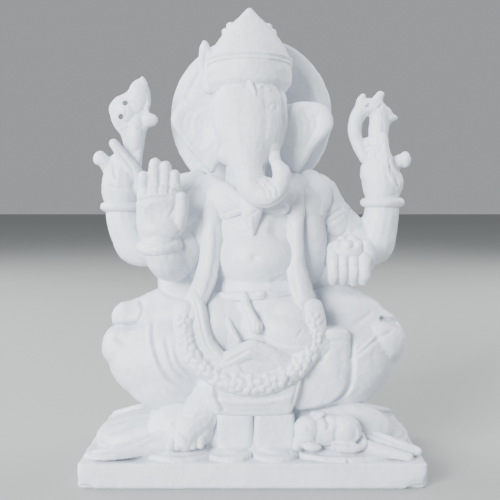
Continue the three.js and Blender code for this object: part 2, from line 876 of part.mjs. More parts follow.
// Outlines of the two emblems: outward from the rear hands' middle, and above the hands' foot.
const CONCH = [
  [-13, 20],
  [-15, 36],
  [-17.5, 44],
  [-24.2, 47],
  [-24, 51.5],
  [-19, 56],
  [-19.4, 66],
  [-18, 76],
  [-14.7, 79.5],
  [-8, 72],
  [-5, 68],
  [2, 65.5],
  [7.5, 58],
  [6.5, 50],
  [0, 42],
  [-3, 30],
  [-5, 20],
];
const CONCH_HOLES = [
  [-1.6, 60.5, 1.8],
  [0.6, 51.5, 1.6],
];
const NOOSE = [
  [-9, 14],
  [-14, 24],
  [-19, 34],
  [-23.8, 47],
  [-20.5, 55],
  [-17, 65],
  [-14.2, 67],
  [-11, 62.5],
  [-7, 63],
  [-3.5, 69],
  [-0.8, 68.5],
  [1.5, 61],
  [9.5, 51.5],
  [3, 45],
  [1.3, 38],
  [3, 30],
  [1, 18],
];
const NOOSE_HOLE = [-11.8, 44.5];

const emblem = (grow, side, outline) =>
  upright(
    grow,
    outline.map(([out, up]) => [side * (REAR_REACH + out), handFoot + up]),
    armY - 1,
    EMBLEM_THICK,
    3.5,
  );

// The conch has a pointed spire, a flared lip and two drilled holes.
const conch = (grow) => {
  const body = join(
    emblem(grow, -1, CONCH),
    ball(grow, [11 - REAR_REACH, armY - 1, handFoot + 56], [8.5, 9, 9]),
  );
  if (grow > 0) return body;
  const holes = CONCH_HOLES.map(([out, up, r]) =>
    ball(0, [-REAR_REACH - out, armY - 1, handFoot + up], [r, EMBLEM_THICK * 1.4, r]),
  );
  return body.subtract(join(...holes));
};

// The noose is a bent loop with two horns and a spur.
const noose = (grow) => {
  const body = emblem(grow, 1, NOOSE);
  if (grow > 0) return body;
  const hole = [REAR_REACH + NOOSE_HOLE[0], armY - 1, handFoot + NOOSE_HOLE[1]];
  return body.subtract(ball(0, hole, [3.2, EMBLEM_THICK * 1.6, 7.6], [0, 18, 0]));
};

// The open right palm, raised in blessing: each finger is [share of the palm's width, tip height].
const palmFoot = bellyZ + 14;
const FINGERS = [
  [-0.38, 42],
  [-0.08, 47],
  [0.17, 45.5],
  [0.38, 36],
];
const palm = (grow) => {
  const fingers = FINGERS.map(([share, tip]) =>
    limb(grow, [
      [palmX + share * PALM_WIDTH, palmY, palmFoot + 14, FINGER_RADIUS],
      [palmX + share * PALM_WIDTH, palmY + 2, palmFoot + tip, FINGER_RADIUS - 0.5],
    ]),
  );
  return join(
    ball(grow, [palmX, palmY, palmFoot + 13], [PALM_WIDTH / 2, 7.5, 19]),
    ball(grow, [palmX, palmY - 1, palmFoot + 3], [PALM_WIDTH * 0.42, 8.5, 10]),
    ...fingers,
  );
};

// The left hand is cupped on the thigh and holds a bowl of sweets.
const cupFoot = bellyZ - 18;
const cupY = lapFront + 9;
const cuppedHand = (grow) => {
  const fingers = [-1.5, -0.5, 0.5, 1.5].map((i) =>
    limb(grow, [
      [bowlX + i * 7, cupY + 1, cupFoot + 2 + Math.abs(i), FINGER_RADIUS],
      [bowlX + i * 7.6, cupY - 1, cupFoot + 18, FINGER_RADIUS - 0.5],
    ]),
  );
  return join(ball(grow, [bowlX, cupY + 9, cupFoot + 10], [14, 12, 11]), ...fingers);
};
const sweets = (grow) =>
  join(
    ball(grow, [bowlX, cupY + 8, cupFoot + 23], [BOWL_WIDTH / 2, BOWL_WIDTH * 0.42, 7]),
    ...[-1, 0, 1].map((i) =>
      ball(grow, [bowlX + i * BOWL_WIDTH * 0.31, cupY + 6, cupFoot + 26 - 2 * i * i], [5, 5, 5]),
    ),
  );

// ---------------------------------------------------------------- the list of carved elements

// Earlier elements keep their full shape; a later one is cut back by them with the carved line.
const groups = {
  base: [
    ["base_slab", slab],
    ["lotus_seat", lotusSeat],
    ["hanging_foot", hangingFoot],
    ["mouse", mouse],
    ...FRONT_PETALS.map((p, i) => [`petal_front_${i + 1}`, (g) => shortPetal(g, ...p, -1)]),
    ...BACK_PETALS.map((p, i) => [`petal_back_${i + 1}`, (g) => shortPetal(g, ...p, 1)]),
    ["petal_corner_right", (g) => cornerPetal(g, -1)],
    ["petal_corner_left", (g) => cornerPetal(g, 1)],
  ],
  legs: [
    ["lap", lap],
    ["leg_right", (g) => leg(g, -1)],
    ["leg_left", (g) => leg(g, 1)],
    ["folded_shin", foldedShin],
    ["apron", apron],
    ["side_panel", sidePanel],
  ],
  torso: [
    ["belly", belly],
    ["chest", chest],
    ["belt", belt],
    ["garland_loop", garlandLoop],
    ["scarf_right", (g) => scarf(g, -1)],
    ["scarf_left", (g) => scarf(g, 1)],
    ["sash", sash],
  ],
  head: [
    ["head", head],
    ["trunk", trunk],
    ["tusk_right", tuskRight],
    ["tusk_left", tuskLeft],
    ["pendant", pendant],
    ["necklace", necklace],
    ["crown_cap", crownCap],
    ["crown_rim", crownRim],
    ["crown_bands", crownBands],
    ["crown_leaf", crownLeaf],
    ["crown_side_crest", sideCrest],
    ["forehead_mark", foreheadMark],
    ["ear_right", (g) => ear(g, -1)],
    ["ear_left", (g) => ear(g, 1)],
    ["halo", halo],
  ],
  arms: [
    ["shoulder_right", (g) => shoulder(g, -1)],
    ["shoulder_left", (g) => shoulder(g, 1)],
    ["armlet_left", armlet],
    ["rear_right_arm", rearRightArm],
    ["rear_left_arm", rearLeftArm],
    ["front_right_arm", frontRightArm],
    ["front_left_arm", frontLeftArm],
    ["rear_right_bangle", rearRightBangle],
    ["rear_left_bangle", rearLeftBangle],
    ["front_right_bangle", frontRightBangle],
    ["rear_right_hand", (g) => rearHand(g, -1)],
    ["rear_left_hand", (g) => rearHand(g, 1)],
    ["conch", conch],
    ["noose", noose],
    ["front_right_palm", palm],
    ["front_left_hand", cuppedHand],
    ["sweets", sweets],
  ],
};

// ---------------------------------------------------------------- carve and assemble

const marble = new THREE.MeshStandardMaterial({ color: 0xe9e9ec, roughness: 0.45, metalness: 0 });

function meshOf(name, made) {
  const raw = made.getMesh();
  const geometry = new THREE.BufferGeometry();
  const spots = new Float32Array(raw.vertProperties);
  geometry.setAttribute("position", new THREE.BufferAttribute(spots, 3));
  geometry.setIndex(new THREE.BufferAttribute(new Uint32Array(raw.triVerts), 1));
  geometry.computeBoundingBox();
  const middle = geometry.boundingBox.getCenter(new THREE.Vector3()).round();
  geometry.translate(-middle.x, -middle.y, -middle.z);
  const mesh = new THREE.Mesh(geometry, marble.clone());
  mesh.name = name;
  mesh.position.copy(middle);
  return mesh;
}

const near = (a, b) => [0, 1, 2].every((k) => a.min[k] <= b.max[k] && b.min[k] <= a.max[k]);

const idol = new THREE.Group();
idol.name = "ganesha_idol";
const carved = [];
for (const [groupName, elements] of Object.entries(groups)) {
  const group = new THREE.Group();
  group.name = groupName;
  for (const [name, build] of elements) {
    let made = build(0);
    for (const earlier of carved) {
      if (near(made.boundingBox(), earlier.box)) made = made.subtract(earlier.cutter);
    }
    const cutter = build(CARVE_GAP);
    carved.push({ cutter, box: cutter.boundingBox() });
    group.add(meshOf(name, mainBody(made)));
  }
  idol.add(group);
}

export default idol;
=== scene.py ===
"""A seated marble Ganesha idol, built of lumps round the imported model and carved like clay."""
import math

import bmesh
import bpy
import numpy as np
from bpy.props import FloatProperty, FloatVectorProperty, PointerProperty
from mathutils import Euler, Matrix, Vector


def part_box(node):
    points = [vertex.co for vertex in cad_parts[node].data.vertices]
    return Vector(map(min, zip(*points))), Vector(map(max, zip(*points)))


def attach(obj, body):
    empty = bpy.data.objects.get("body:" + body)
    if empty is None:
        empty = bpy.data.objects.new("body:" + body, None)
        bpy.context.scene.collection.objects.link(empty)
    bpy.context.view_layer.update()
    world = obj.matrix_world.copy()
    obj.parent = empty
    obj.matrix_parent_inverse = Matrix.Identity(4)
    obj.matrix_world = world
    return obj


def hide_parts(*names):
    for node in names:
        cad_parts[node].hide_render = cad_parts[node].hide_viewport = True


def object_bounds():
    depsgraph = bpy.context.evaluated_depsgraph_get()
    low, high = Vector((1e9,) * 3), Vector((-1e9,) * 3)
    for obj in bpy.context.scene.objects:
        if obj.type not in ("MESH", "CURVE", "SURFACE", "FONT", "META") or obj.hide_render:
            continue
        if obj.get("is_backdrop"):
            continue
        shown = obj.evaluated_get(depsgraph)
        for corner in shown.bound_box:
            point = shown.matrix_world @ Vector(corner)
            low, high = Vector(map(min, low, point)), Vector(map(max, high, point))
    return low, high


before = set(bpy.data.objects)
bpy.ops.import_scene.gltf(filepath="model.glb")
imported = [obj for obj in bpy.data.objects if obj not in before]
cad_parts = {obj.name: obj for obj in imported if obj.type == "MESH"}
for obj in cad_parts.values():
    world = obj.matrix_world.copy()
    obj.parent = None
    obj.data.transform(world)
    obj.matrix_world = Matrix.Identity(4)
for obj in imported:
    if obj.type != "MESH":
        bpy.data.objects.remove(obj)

CAD_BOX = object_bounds()

bl_info = {
    "name": "Marble Ganesha Idol",
    "version": (1, 0, 0),
    "blender": (4, 5, 0),
    "location": "View3D > Sidebar > Idol",
    "description": "Carves a seated marble Ganesha idol and its studio stage",
    "category": "Add Mesh",
}

MM = 0.001  # one millimetre in Blender's metres
KNEE_RISE = 52  # from the lap's anchor up to the top of the left knee, in millimetres
CHEST_RISE = 28  # from the belly's anchor up to the top of the belly
BROW_RISE = 29  # from the head's anchor up to the top of the head


# ---------------------------------------------------------------- where things stand

def corners(node):
    """Lowest and highest corner of a CAD node, in millimetres."""
    low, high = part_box(node)
    return low / MM, high / MM


def middle(node):
    """The middle of a CAD node's box, in millimetres."""
    low, high = corners(node)
    return (low + high) / 2


def top(node):
    """The height of a CAD node's top, in millimetres."""
    return corners(node)[1].z


GROUND = Vector((0, 0, corners("base_slab")[0].z))
SLAB = Vector((0, 0, top("base_slab")))
LAP = Vector((0, 0, top("leg_left") - KNEE_RISE))
BELLY = Vector((0, 0, top("belly") - CHEST_RISE))
HEAD = Vector((middle("head").x, 0, top("head") - BROW_RISE))
CROWN = Vector((middle("crown_cap").x, middle("crown_cap").y, corners("crown_cap")[0].z))
HALO = middle("halo")
RIGHT_WRIST = middle("rear_right_bangle")
LEFT_WRIST = middle("rear_left_bangle")
PALM_WRIST = middle("front_right_bangle")
BOWL = middle("sweets")
CONCH = middle("conch")
NOOSE = middle("noose")
MOUSE = middle("mouse")
FOOT = middle("hanging_foot")


# ---------------------------------------------------------------- what a user may change

class StoneSettings(bpy.types.PropertyGroup):
    """Colour and surface of the marble."""

    white: FloatVectorProperty(
        name="White", description="Main colour of the marble",
        subtype="COLOR", size=3, min=0, max=1, default=(0.765, 0.80, 0.865))
    shade: FloatVectorProperty(
        name="Shade", description="Colour of the marble's faint clouds",
        subtype="COLOR", size=3, min=0, max=1, default=(0.65, 0.685, 0.74))
    polish: FloatProperty(
        name="Roughness", description="Roughness of the dressed surface",
        subtype="FACTOR", min=0, max=1, default=0.46)
    grain: FloatProperty(
        name="Crystal size", description="Size of the marble's crystals",
        subtype="DISTANCE", unit="LENGTH", min=0.0001, max=0.01, default=0.0011)


class CarvingSettings(bpy.types.PropertyGroup):
    """How finely the pieces are carved."""

    coarse: FloatProperty(
        name="Coarse skin", description="Mesh size on large plain forms",
        subtype="DISTANCE", unit="LENGTH", min=0.0005, max=0.004, default=0.0012)
    medium: FloatProperty(
        name="Medium skin", description="Mesh size on limbs and cloth",
        subtype="DISTANCE", unit="LENGTH", min=0.0004, max=0.004, default=0.0009)
    fine: FloatProperty(
        name="Fine skin", description="Mesh size on hands, head and emblems",
        subtype="DISTANCE", unit="LENGTH", min=0.0003, max=0.003, default=0.00065)
    unevenness: FloatProperty(
        name="Unevenness", description="How far the hand-dressed surface wanders",
        subtype="DISTANCE", unit="LENGTH", min=0, max=0.002, default=0.00055)


class StageSettings(bpy.types.PropertyGroup):
    """Floor, lights and camera."""

    floor: FloatVectorProperty(
        name="Floor", description="Colour of the floor",
        subtype="COLOR", size=3, min=0, max=1, default=(0.36, 0.37, 0.36))
    air: FloatProperty(
        name="Air", description="Brightness of the soft light from all round",
        min=0, max=2, default=0.38)
    sides: FloatProperty(
        name="Side lights", description="Power of the two lights beside and behind",
        subtype="POWER", unit="POWER", min=0, max=400, default=40)
    above: FloatProperty(
        name="Light above", description="Power of the light overhead",
        subtype="POWER", unit="POWER", min=0, max=400, default=14)
    front: FloatProperty(
        name="Front light", description="Power of the fill from the front left",
        subtype="POWER", unit="POWER", min=0, max=600, default=185)
    lens: FloatProperty(
        name="Lens", description="Focal length of the camera",
        subtype="DISTANCE_CAMERA", min=10, max=200, default=58)


# ---------------------------------------------------------------- clay

def smooth_path(stops, pieces=6, closed=False):
    """Rows along a smooth curve through the stops, whatever each stop holds."""
    rows = np.array(stops, float)
    if closed:
        rows = np.vstack([rows[-1:], rows, rows[:2]])
    else:
        rows = np.vstack([2 * rows[0] - rows[1], rows, 2 * rows[-1] - rows[-2]])
    a, b, c, d = rows[:-3], rows[1:-2], rows[2:-1], rows[3:]
    t = np.linspace(0, 1, pieces, endpoint=False)[:, None, None]
    curve = 0.5 * (
        2 * b + (c - a) * t + (2 * a - 5 * b + 4 * c - d) * t ** 2
        + (3 * b - a - 3 * c + d) * t ** 3)
    curve = curve.transpose(1, 0, 2).reshape(-1, rows.shape[1])
    return curve if closed else np.vstack([curve, rows[-2]])


def flipped_sides(stops):
    """The same stops on the figure's other side."""
    return [(-stop[0], *stop[1:]) for stop in stops]


def oval(at, radii, step):
    """Stops round an oval, one every step radians."""
    return [(at[0] + radii[0] * math.cos(a), at[1] + radii[1] * math.sin(a))
            for a in np.arange(0, math.tau, step)]


def unique(parts):
    """The parts without repeats, in an order that is the same in each run, as a set's isn't."""
    return list(dict.fromkeys(parts))


def new_verts(grown):
    """The vertices among what a mesh operation has made."""
    return [part for part in grown if isinstance(part, bmesh.types.BMVert)]


class Clay:
    """Lumps set round one anchor, in millimetres, that skin() turns into one carved piece."""

    def __init__(self, anchor):
        self.anchor = Vector(anchor)
        self.mesh = bmesh.new()

    def ball(self, at, radii, turn=(0, 0, 0)):
        """An ellipsoid, or a sphere if radii is one number."""
        radii = Vector(radii) if hasattr(radii, "__len__") else Vector((radii,) * 3)
        turn = Euler([math.radians(angle) for angle in turn])
        bmesh.ops.create_icosphere(
            self.mesh, subdivisions=3 if max(radii) < 12 else 4, radius=1,
            matrix=Matrix.LocRotScale(self.anchor + Vector(at), turn, radii))

    def block(self, low, high, corner, edge):
        """A box with round upright corners and soft edges."""
        low, high = Vector(low), Vector(high)
        made = bmesh.ops.create_cube(
            self.mesh, size=1,
            matrix=Matrix.LocRotScale(self.anchor + (low + high) / 2, None, high - low))
        lines = unique(line for vert in made["verts"] for line in vert.link_edges)
        upright = [line for line in lines
                   if abs(line.verts[0].co.z - line.verts[1].co.z) > 1e-6]
        rounded = self._bevel(upright, corner, segments=4)
        faces = unique(face for vert in rounded["verts"] for face in vert.link_faces)
        caps = [face for face in faces if abs(face.normal.z) > 0.9 or len(face.verts) > 4]
        self._bevel(unique(line for face in caps for line in face.edges), edge)

    def _bevel(self, lines, offset, segments=3):
        return bmesh.ops.bevel(
            self.mesh, geom=lines, offset=offset, affect="EDGES",
            segments=segments, profile=0.5, material=-1)

    def bar(self, stops, face=(0, -1, 0), about=None, sides=14):
        """A round-ended bar along its stops [x, y, z, half width, half thickness].

        Its flat side looks along face, or away from the upright axis through about (x, y).
        """
        path = smooth_path(stops, pieces=7)
        spots = [self.anchor + Vector(row[:3]) for row in path]
        rings = []
        last = len(spots) - 1
        for i, (spot, row) in enumerate(zip(spots, path)):
            along = (spots[min(i + 1, last)] - spots[max(i - 1, 0)]).normalized()
            look = Vector(face)
            if about is not None:
                look = Vector((spot.x - about[0], spot.y - about[1], 0)).normalized()
            look = look - along * look.dot(along)
            if look.length < 0.15:
                look = along.orthogonal()
            look.normalize()
            rings.append((spot, along, look.cross(along), look, row[3], row[4]))
        slopes = (1.45, 1.05, 0.6)  # radians round the end, from its tip inwards
        rings = (self._end_rings(rings[0], -1, slopes) + rings
                 + self._end_rings(rings[-1], 1, slopes[::-1]))
        places = []
        for spot, along, wide, look, half_wide, half_thick in rings:
            place = Matrix((wide * half_wide, look * half_thick, along)).transposed().to_4x4()
            place.translation = spot
            places.append(place)
        made = bmesh.ops.create_circle(
            self.mesh, cap_ends=True, radius=1, segments=sides, matrix=places[0])
        cap = [made["verts"][0].link_faces[0]]
        for before, after in zip(places, places[1:]):
            grown = bmesh.ops.extrude_face_region(self.mesh, geom=cap)["geom"]
            cap = [part for part in grown if isinstance(part, bmesh.types.BMFace)]
            bmesh.ops.transform(
                self.mesh, matrix=after @ before.inverted(), verts=new_verts(grown))

    @staticmethod
    def _end_rings(ring, way, slopes):
        """Smaller rings beyond a bar's first or last one, which round its end off."""
        spot, along, wide, look, half_wide, half_thick = ring
        return [(spot + along * half_thick * (way * math.sin(slope)), along, wide, look,
                 half_wide * math.cos(slope), half_thick * math.cos(slope)) for slope in slopes]

    def roll(self, stops, **more):
        """A round bar along its stops [x, y, z, radius]."""
        self.bar([(x, y, z, r, r) for x, y, z, r in stops], **more)

    def plate(self, outline, front, back, soft):
        """A smooth outline in x and z, between two depths in y, with soft edges."""
        points = smooth_path(outline, pieces=4, closed=True)
        verts = [self.mesh.verts.new(self.anchor + Vector((x, front, z))) for x, z in points]
        face = self.mesh.faces.new(verts)
        grown = bmesh.ops.extrude_face_region(self.mesh, geom=[face])["geom"]
        back_verts = new_verts(grown)
        bmesh.ops.translate(self.mesh, verts=back_verts, vec=(0, back - front, 0))
        rim = [line for line in self.mesh.edges
               if any(all(vert in side for vert in line.verts) for side in (back_verts, verts))]
        self._bevel(rim, soft)

    def turned(self, profile, at=(0, 0, 0), flat=1.0, tilt=(0, 0, 0)):
        """A solid turned round an upright axis from its profile of [radius, height]."""
        verts = [self.mesh.verts.new((radius, 0, height)) for radius, height in profile]
        edges = [self.mesh.edges.new(pair) for pair in zip(verts, verts[1:])]
        bmesh.ops.spin(
            self.mesh, geom=verts + edges, cent=(0, 0, 0), axis=(0, 0, 1),
            angle=math.tau, steps=56, use_merge=True, use_duplicate=False)
        parts = dict.fromkeys(verts)
        stack = list(verts)
        while stack:
            for edge in stack.pop().link_edges:
                for vert in edge.verts:
                    if vert not in parts:
                        parts[vert] = None
                        stack.append(vert)
        parts = list(parts)
        bmesh.ops.remove_doubles(self.mesh, verts=parts, dist=1e-4)
        parts = [vert for vert in parts if vert.is_valid]
        turn = Euler([math.radians(angle) for angle in tilt])
        bmesh.ops.transform(
            self.mesh, verts=parts,
            matrix=Matrix.LocRotScale(self.anchor + Vector(at), turn, None)
            @ Matrix.Diagonal((1, flat, 1, 1)))

    def leaf(self, root, tip, half, thick, cup=2.0, curl=0.0, up=(0, 0, 1), point=0.55):
        """A cupped petal or leaf from its root to its tip; half is half its width."""
        root, tip = self.anchor + Vector(root), self.anchor + Vector(tip)
        along = tip - root
        side = along.cross(Vector(up)).normalized()
        rise = side.cross(along).normalized()
        made = bmesh.ops.create_grid(self.mesh, x_segments=14, y_segments=18, size=1)["verts"]
        for vert in made:
            across, run = vert.co.x, (vert.co.y + 1) / 2
            # Broadest near the tip, then rounded off past point.
            width = half * (0.62 + 0.95 * run - 0.45 * run * run)
            if run > point:
                end = (run - point) / (1 - point)
                width *= math.sqrt(max(0.0, 1 - end ** 2.2)) * 0.97 + 0.03
            lift = cup * across * across + curl * run ** 3
            vert.co = root + along * run + side * across * width + rise * lift
        faces = unique(face for vert in made for face in vert.link_faces)
        bmesh.ops.recalc_face_normals(self.mesh, faces=faces)
        bmesh.ops.solidify(self.mesh, geom=faces, thickness=thick)

    def skin(self, name, grain, soften=5):
        """One closed, softened object from all the lumps, ready for the chisel."""
        bmesh.ops.recalc_face_normals(self.mesh, faces=self.mesh.faces)
        bmesh.ops.scale(self.mesh, vec=(MM, MM, MM), verts=self.mesh.verts)
        lumps = bpy.data.meshes.new(name)
        self.mesh.to_mesh(lumps)
        self.mesh.free()
        piece = bpy.data.objects.new(name, lumps)
        bpy.context.scene.collection.objects.link(piece)
        skin = piece.modifiers.new("skin", "REMESH")
        skin.mode, skin.voxel_size, skin.use_smooth_shade = "VOXEL", grain, True
        relax = piece.modifiers.new("soften", "SMOOTH")
        relax.factor, relax.iterations = 0.5, soften
        settle(piece)
        return Chisel(piece, self.anchor)


def settle(piece):
    """Applies a piece's modifiers to its mesh."""
    bpy.context.view_layer.update()
    seen = piece.evaluated_get(bpy.context.evaluated_depsgraph_get())
    mesh = bpy.data.meshes.new_from_object(seen)
    piece.modifiers.clear()
    old, piece.data = piece.data, mesh
    bpy.data.meshes.remove(old)
    mesh.name = piece.name


# ---------------------------------------------------------------- chisel

FRONT, BACK, ABOVE = "front", "back", "above"
VIEWS = {  # across, up, and the direction the chisel comes from
    FRONT: ((0, 2), (0, -1, 0)),
    BACK: ((0, 2), (0, 1, 0)),
    ABOVE: ((0, 1), (0, 0, 1)),
}


class Chisel:
    """Works a skinned piece's surface with strokes drawn as seen from one side, in millimetres."""

    def __init__(self, piece, anchor):
        self.piece, self.anchor = piece, np.array(anchor)
        self.read()

    def read(self):
        """Takes in the piece's surface, to be worked from the front."""
        mesh = self.piece.data
        count = len(mesh.vertices)
        spots, normals = np.empty(count * 3), np.empty(count * 3)
        mesh.vertices.foreach_get("co", spots)
        mesh.vertices.foreach_get("normal", normals)
        self.spots = spots.reshape(-1, 3) / MM - self.anchor
        self.normals = normals.reshape(-1, 3)
        self.move = np.zeros_like(self.spots)
        self.face(FRONT)

    def face(self, view):
        """Turns the piece so that the next strokes are drawn from another side."""
        (across, up), toward = VIEWS[view]
        # seen is 1 where the surface faces the chisel and 0 where it turns away.
        self.flat = self.spots[:, [across, up]]
        self.toward = np.array(toward, float)
        self.seen = np.clip((self.normals @ self.toward - 0.02) / 0.3, 0, 1)

    def _near(self, stops, reach, closed=False):
        """The vertices near a line: which, how far, on which side and how far along it."""
        path = smooth_path(stops, closed=closed)
        if closed:
            path = np.vstack([path, path[:1]])
        low, high = path.min(0) - reach, path.max(0) + reach
        pick = np.where(
            (self.seen > 0) & (self.flat >= low).all(1) & (self.flat <= high).all(1))[0]
        start, step = path[:-1], np.diff(path, axis=0)
        length = np.maximum(np.linalg.norm(step, axis=1), 1e-6)
        run = np.concatenate([[0], np.cumsum(length)])
        off = self.flat[pick][:, None, :] - start[None]
        share = np.clip((off * step).sum(2) / length ** 2, 0, 1)
        gap = off - share[..., None] * step
        far = np.linalg.norm(gap, axis=2)
        best = far.argmin(1)
        rows = np.arange(len(pick))
        side = np.sign(step[best, 0] * off[rows, best, 1] - step[best, 1] * off[rows, best, 0])
        along = (run[best] + share[rows, best] * length[best]) / run[-1]
        return pick, far[rows, best], side, along

    def _push(self, pick, amount, straight=False):
        """Moves vertices along their normals, or straight towards the chisel."""
        way = self.toward if straight else self.normals[pick]
        self.move[pick] += (amount * self.seen[pick])[:, None] * way

    def groove(self, stops, width, depth, ends=0.15, straight=False, closed=False):
        """A cut that is deepest along the line and fades towards its ends."""
        pick, far, _, along = self._near(stops, width, closed)
        fall = np.clip(1 - far / width, 0, 1) ** 1.3
        self._push(pick, -depth * fall * self._ends(along, ends, closed), straight)

    def ridge(self, stops, width, height, closed=False):
        """A rounded line that stands proud."""
        pick, far, _, along = self._near(stops, width, closed)
        fall = np.clip(1 - (far / width) ** 2, 0, 1) ** 1.5
        self._push(pick, height * fall * self._ends(along, 0.15, closed))

    def edge(self, stops, height, fade):
        """A layer's edge: the stone to the line's left stands proud, and sinks back over fade."""
        step, foot, dip = 1.4, 2.5, 0.6  # width of the step, and width and depth of the dip
        pick, far, side, along = self._near(stops, fade)
        rise = np.clip((far * side + step / 2) / step, 0, 1)
        up = height * rise * np.clip(1 - far / fade, 0, 1)
        down = -dip * (1 - rise) * np.clip(1 - far / foot, 0, 1)
        self._push(pick, (up + down) * self._ends(along, 0.12, False))

    @staticmethod
    def _ends(along, ends, closed):
        """How a stroke fades over that share of its length at each end."""
        if closed or not ends:
            return np.ones_like(along)
        return np.clip(np.minimum(along, 1 - along) / ends, 0, 1) ** 0.6

    def dome(self, at, radius, height, straight=False):
        """A round boss, or a dimple if height is negative."""
        far = np.linalg.norm(self.flat - np.array(at), axis=1)
        pick = np.where((far < radius) & (self.seen > 0))[0]
        fall = np.sqrt(np.clip(1 - (far[pick] / radius) ** 2, 0, 1))
        self._push(pick, height * fall, straight)

    def hollow(self, at, radii, depth, turn=0.0):
        """A soft oval hollow, or a swelling if depth is negative."""
        c, s = math.cos(math.radians(turn)), math.sin(math.radians(turn))
        off = self.flat - np.array(at)
        u = (off[:, 0] * c + off[:, 1] * s) / radii[0]
        v = (off[:, 1] * c - off[:, 0] * s) / radii[1]
        far = np.sqrt(u * u + v * v)
        pick = np.where((far < 1) & (self.seen > 0))[0]
        fall = (1 - far[pick] ** 2) ** 1.2
        self._push(pick, -depth * fall)

    def hoop(self, height, width, push, sag):
        """A ring or groove all round at one height, which sags in front."""
        level = self.spots[:, 2] - height + sag * self.spots[:, 1]
        far = np.abs(level)
        pick = np.where(far < width)[0]
        fall = (1 - (far[pick] / width) ** 2) ** 1.2
        self.move[pick] += (push * fall)[:, None] * self.normals[pick]

    def flower(self, at, radius, height, petals=6, turn=0.0):
        """A carved blossom: a boss in a ring of small petals."""
        self.dome(at, radius * 0.36, height)
        for i in range(petals):
            a = turn + math.tau * i / petals
            spot = (at[0] + radius * 0.66 * math.cos(a), at[1] + radius * 0.66 * math.sin(a))
            self.dome(spot, radius * 0.34, height * 0.8)

    def _shift_back(self, amount):
        """Moves the surface back in y, by an amount from its x and z, before any stroke."""
        mesh = self.piece.data
        spots = np.empty(len(mesh.vertices) * 3)
        mesh.vertices.foreach_get("co", spots)
        spots = spots.reshape(-1, 3)
        spots[:, 1] += amount(spots[:, 0] / MM, spots[:, 2] / MM) * MM
        mesh.vertices.foreach_set("co", spots.ravel())
        mesh.update()
        self.read()

    def tuck_under(self, below, bend):
        self._shift_back(lambda x, z: bend * np.clip(below - z, 0, None) ** 2)

    def tuck_beside(self, beyond, bend):
        self._shift_back(lambda x, z: bend * np.clip(x - beyond, 0, None) ** 2)

    def done(self):
        """Writes the strokes to the piece's mesh and eases them."""
        mesh = self.piece.data
        spots = (self.spots + self.move + self.anchor) * MM
        mesh.vertices.foreach_set("co", spots.ravel())
        mesh.update()
        ease = self.piece.modifiers.new("ease", "SMOOTH")
        ease.factor, ease.iterations = 0.35, 1
        settle(self.piece)
        self.move[:] = 0

    def finish(self, *nodes, floor=None):
        """Writes any strokes and sets the piece in the frame, in place of its CAD nodes."""
        if self.move.any():
            self.done()
        finish_piece(self.piece, *nodes, floor=floor)


def drill(piece, holes):
    """Round holes right through a piece along y; each is its middle and radius in millimetres."""
    sides, depth = 20, 40
    tool_mesh = bmesh.new()
    for spot, radius in holes:
        bmesh.ops.create_cone(
            tool_mesh, cap_ends=True, segments=sides,
            radius1=radius * MM, radius2=radius * MM, depth=depth * MM,
            matrix=Matrix.Translation(spot * MM) @ Matrix.Rotation(math.pi / 2, 4, "X"))
    data = bpy.data.meshes.new("drill")
    tool_mesh.to_mesh(data)
    tool_mesh.free()
    tool = bpy.data.objects.new("drill", data)
    bpy.context.scene.collection.objects.link(tool)
    cut = piece.modifiers.new("drill", "BOOLEAN")
    cut.operation, cut.solver, cut.object = "DIFFERENCE", "EXACT", tool
    settle(piece)
    bpy.data.objects.remove(tool)
    bpy.data.meshes.remove(data)


def dress(piece, floor=None):
    """Gives the surface the unevenness of hand work, and a flat underside at floor."""
    size = bpy.context.scene.idol_carving.unevenness
    flattened = 0.9  # how far above floor the surface is pressed flat
    for name, scale, share in (("slow", 0.011, 1.0), ("quick", 0.0032, 0.42)):
        texture = bpy.data.textures.get(f"{name}_wander")
        if texture is None:
            texture = bpy.data.textures.new(f"{name}_wander", "CLOUDS")
            texture.noise_scale, texture.noise_depth = scale, 2
        wander = piece.modifiers.new(name, "DISPLACE")
        wander.texture, wander.texture_coords = texture, "LOCAL"
        wander.mid_level, wander.strength = 0.5, size * share * 2
    settle(piece)
    if floor is not None:
        for vert in piece.data.vertices:
            if vert.co.z < (floor + flattened) * MM:
                vert.co.z = floor * MM
    piece.data.update()


# ---------------------------------------------------------------- marble

def new_group(name, inputs, outputs):
    """An empty node group with its sockets, and its entry and exit nodes."""
    group = bpy.data.node_groups.new(name, "ShaderNodeTree")
    for label, default in inputs.items():
        kind = "NodeSocketVector" if default is None else "NodeSocketFloat"
        made = group.interface.new_socket(name=label, in_out="INPUT", socket_type=kind)
        if default is not None:
            made.default_value = default
    for label in outputs:
        group.interface.new_socket(name=label, in_out="OUTPUT", socket_type="NodeSocketFloat")
    return group, group.nodes.new("NodeGroupInput"), group.nodes.new("NodeGroupOutput")


def add_node(tree, kind, wires, clamp=None, **settings):
    """A node with its settings; each wire is (output socket, input name or number) or a value."""
    made = tree.nodes.new(kind)
    for name, value in settings.items():
        setattr(made, name, value)
    if clamp is not None:
        made.use_clamp = clamp
    for target, source in wires.items():
        if isinstance(source, bpy.types.NodeSocket):
            tree.links.new(source, made.inputs[target])
        else:
            made.inputs[target].default_value = source
    return made


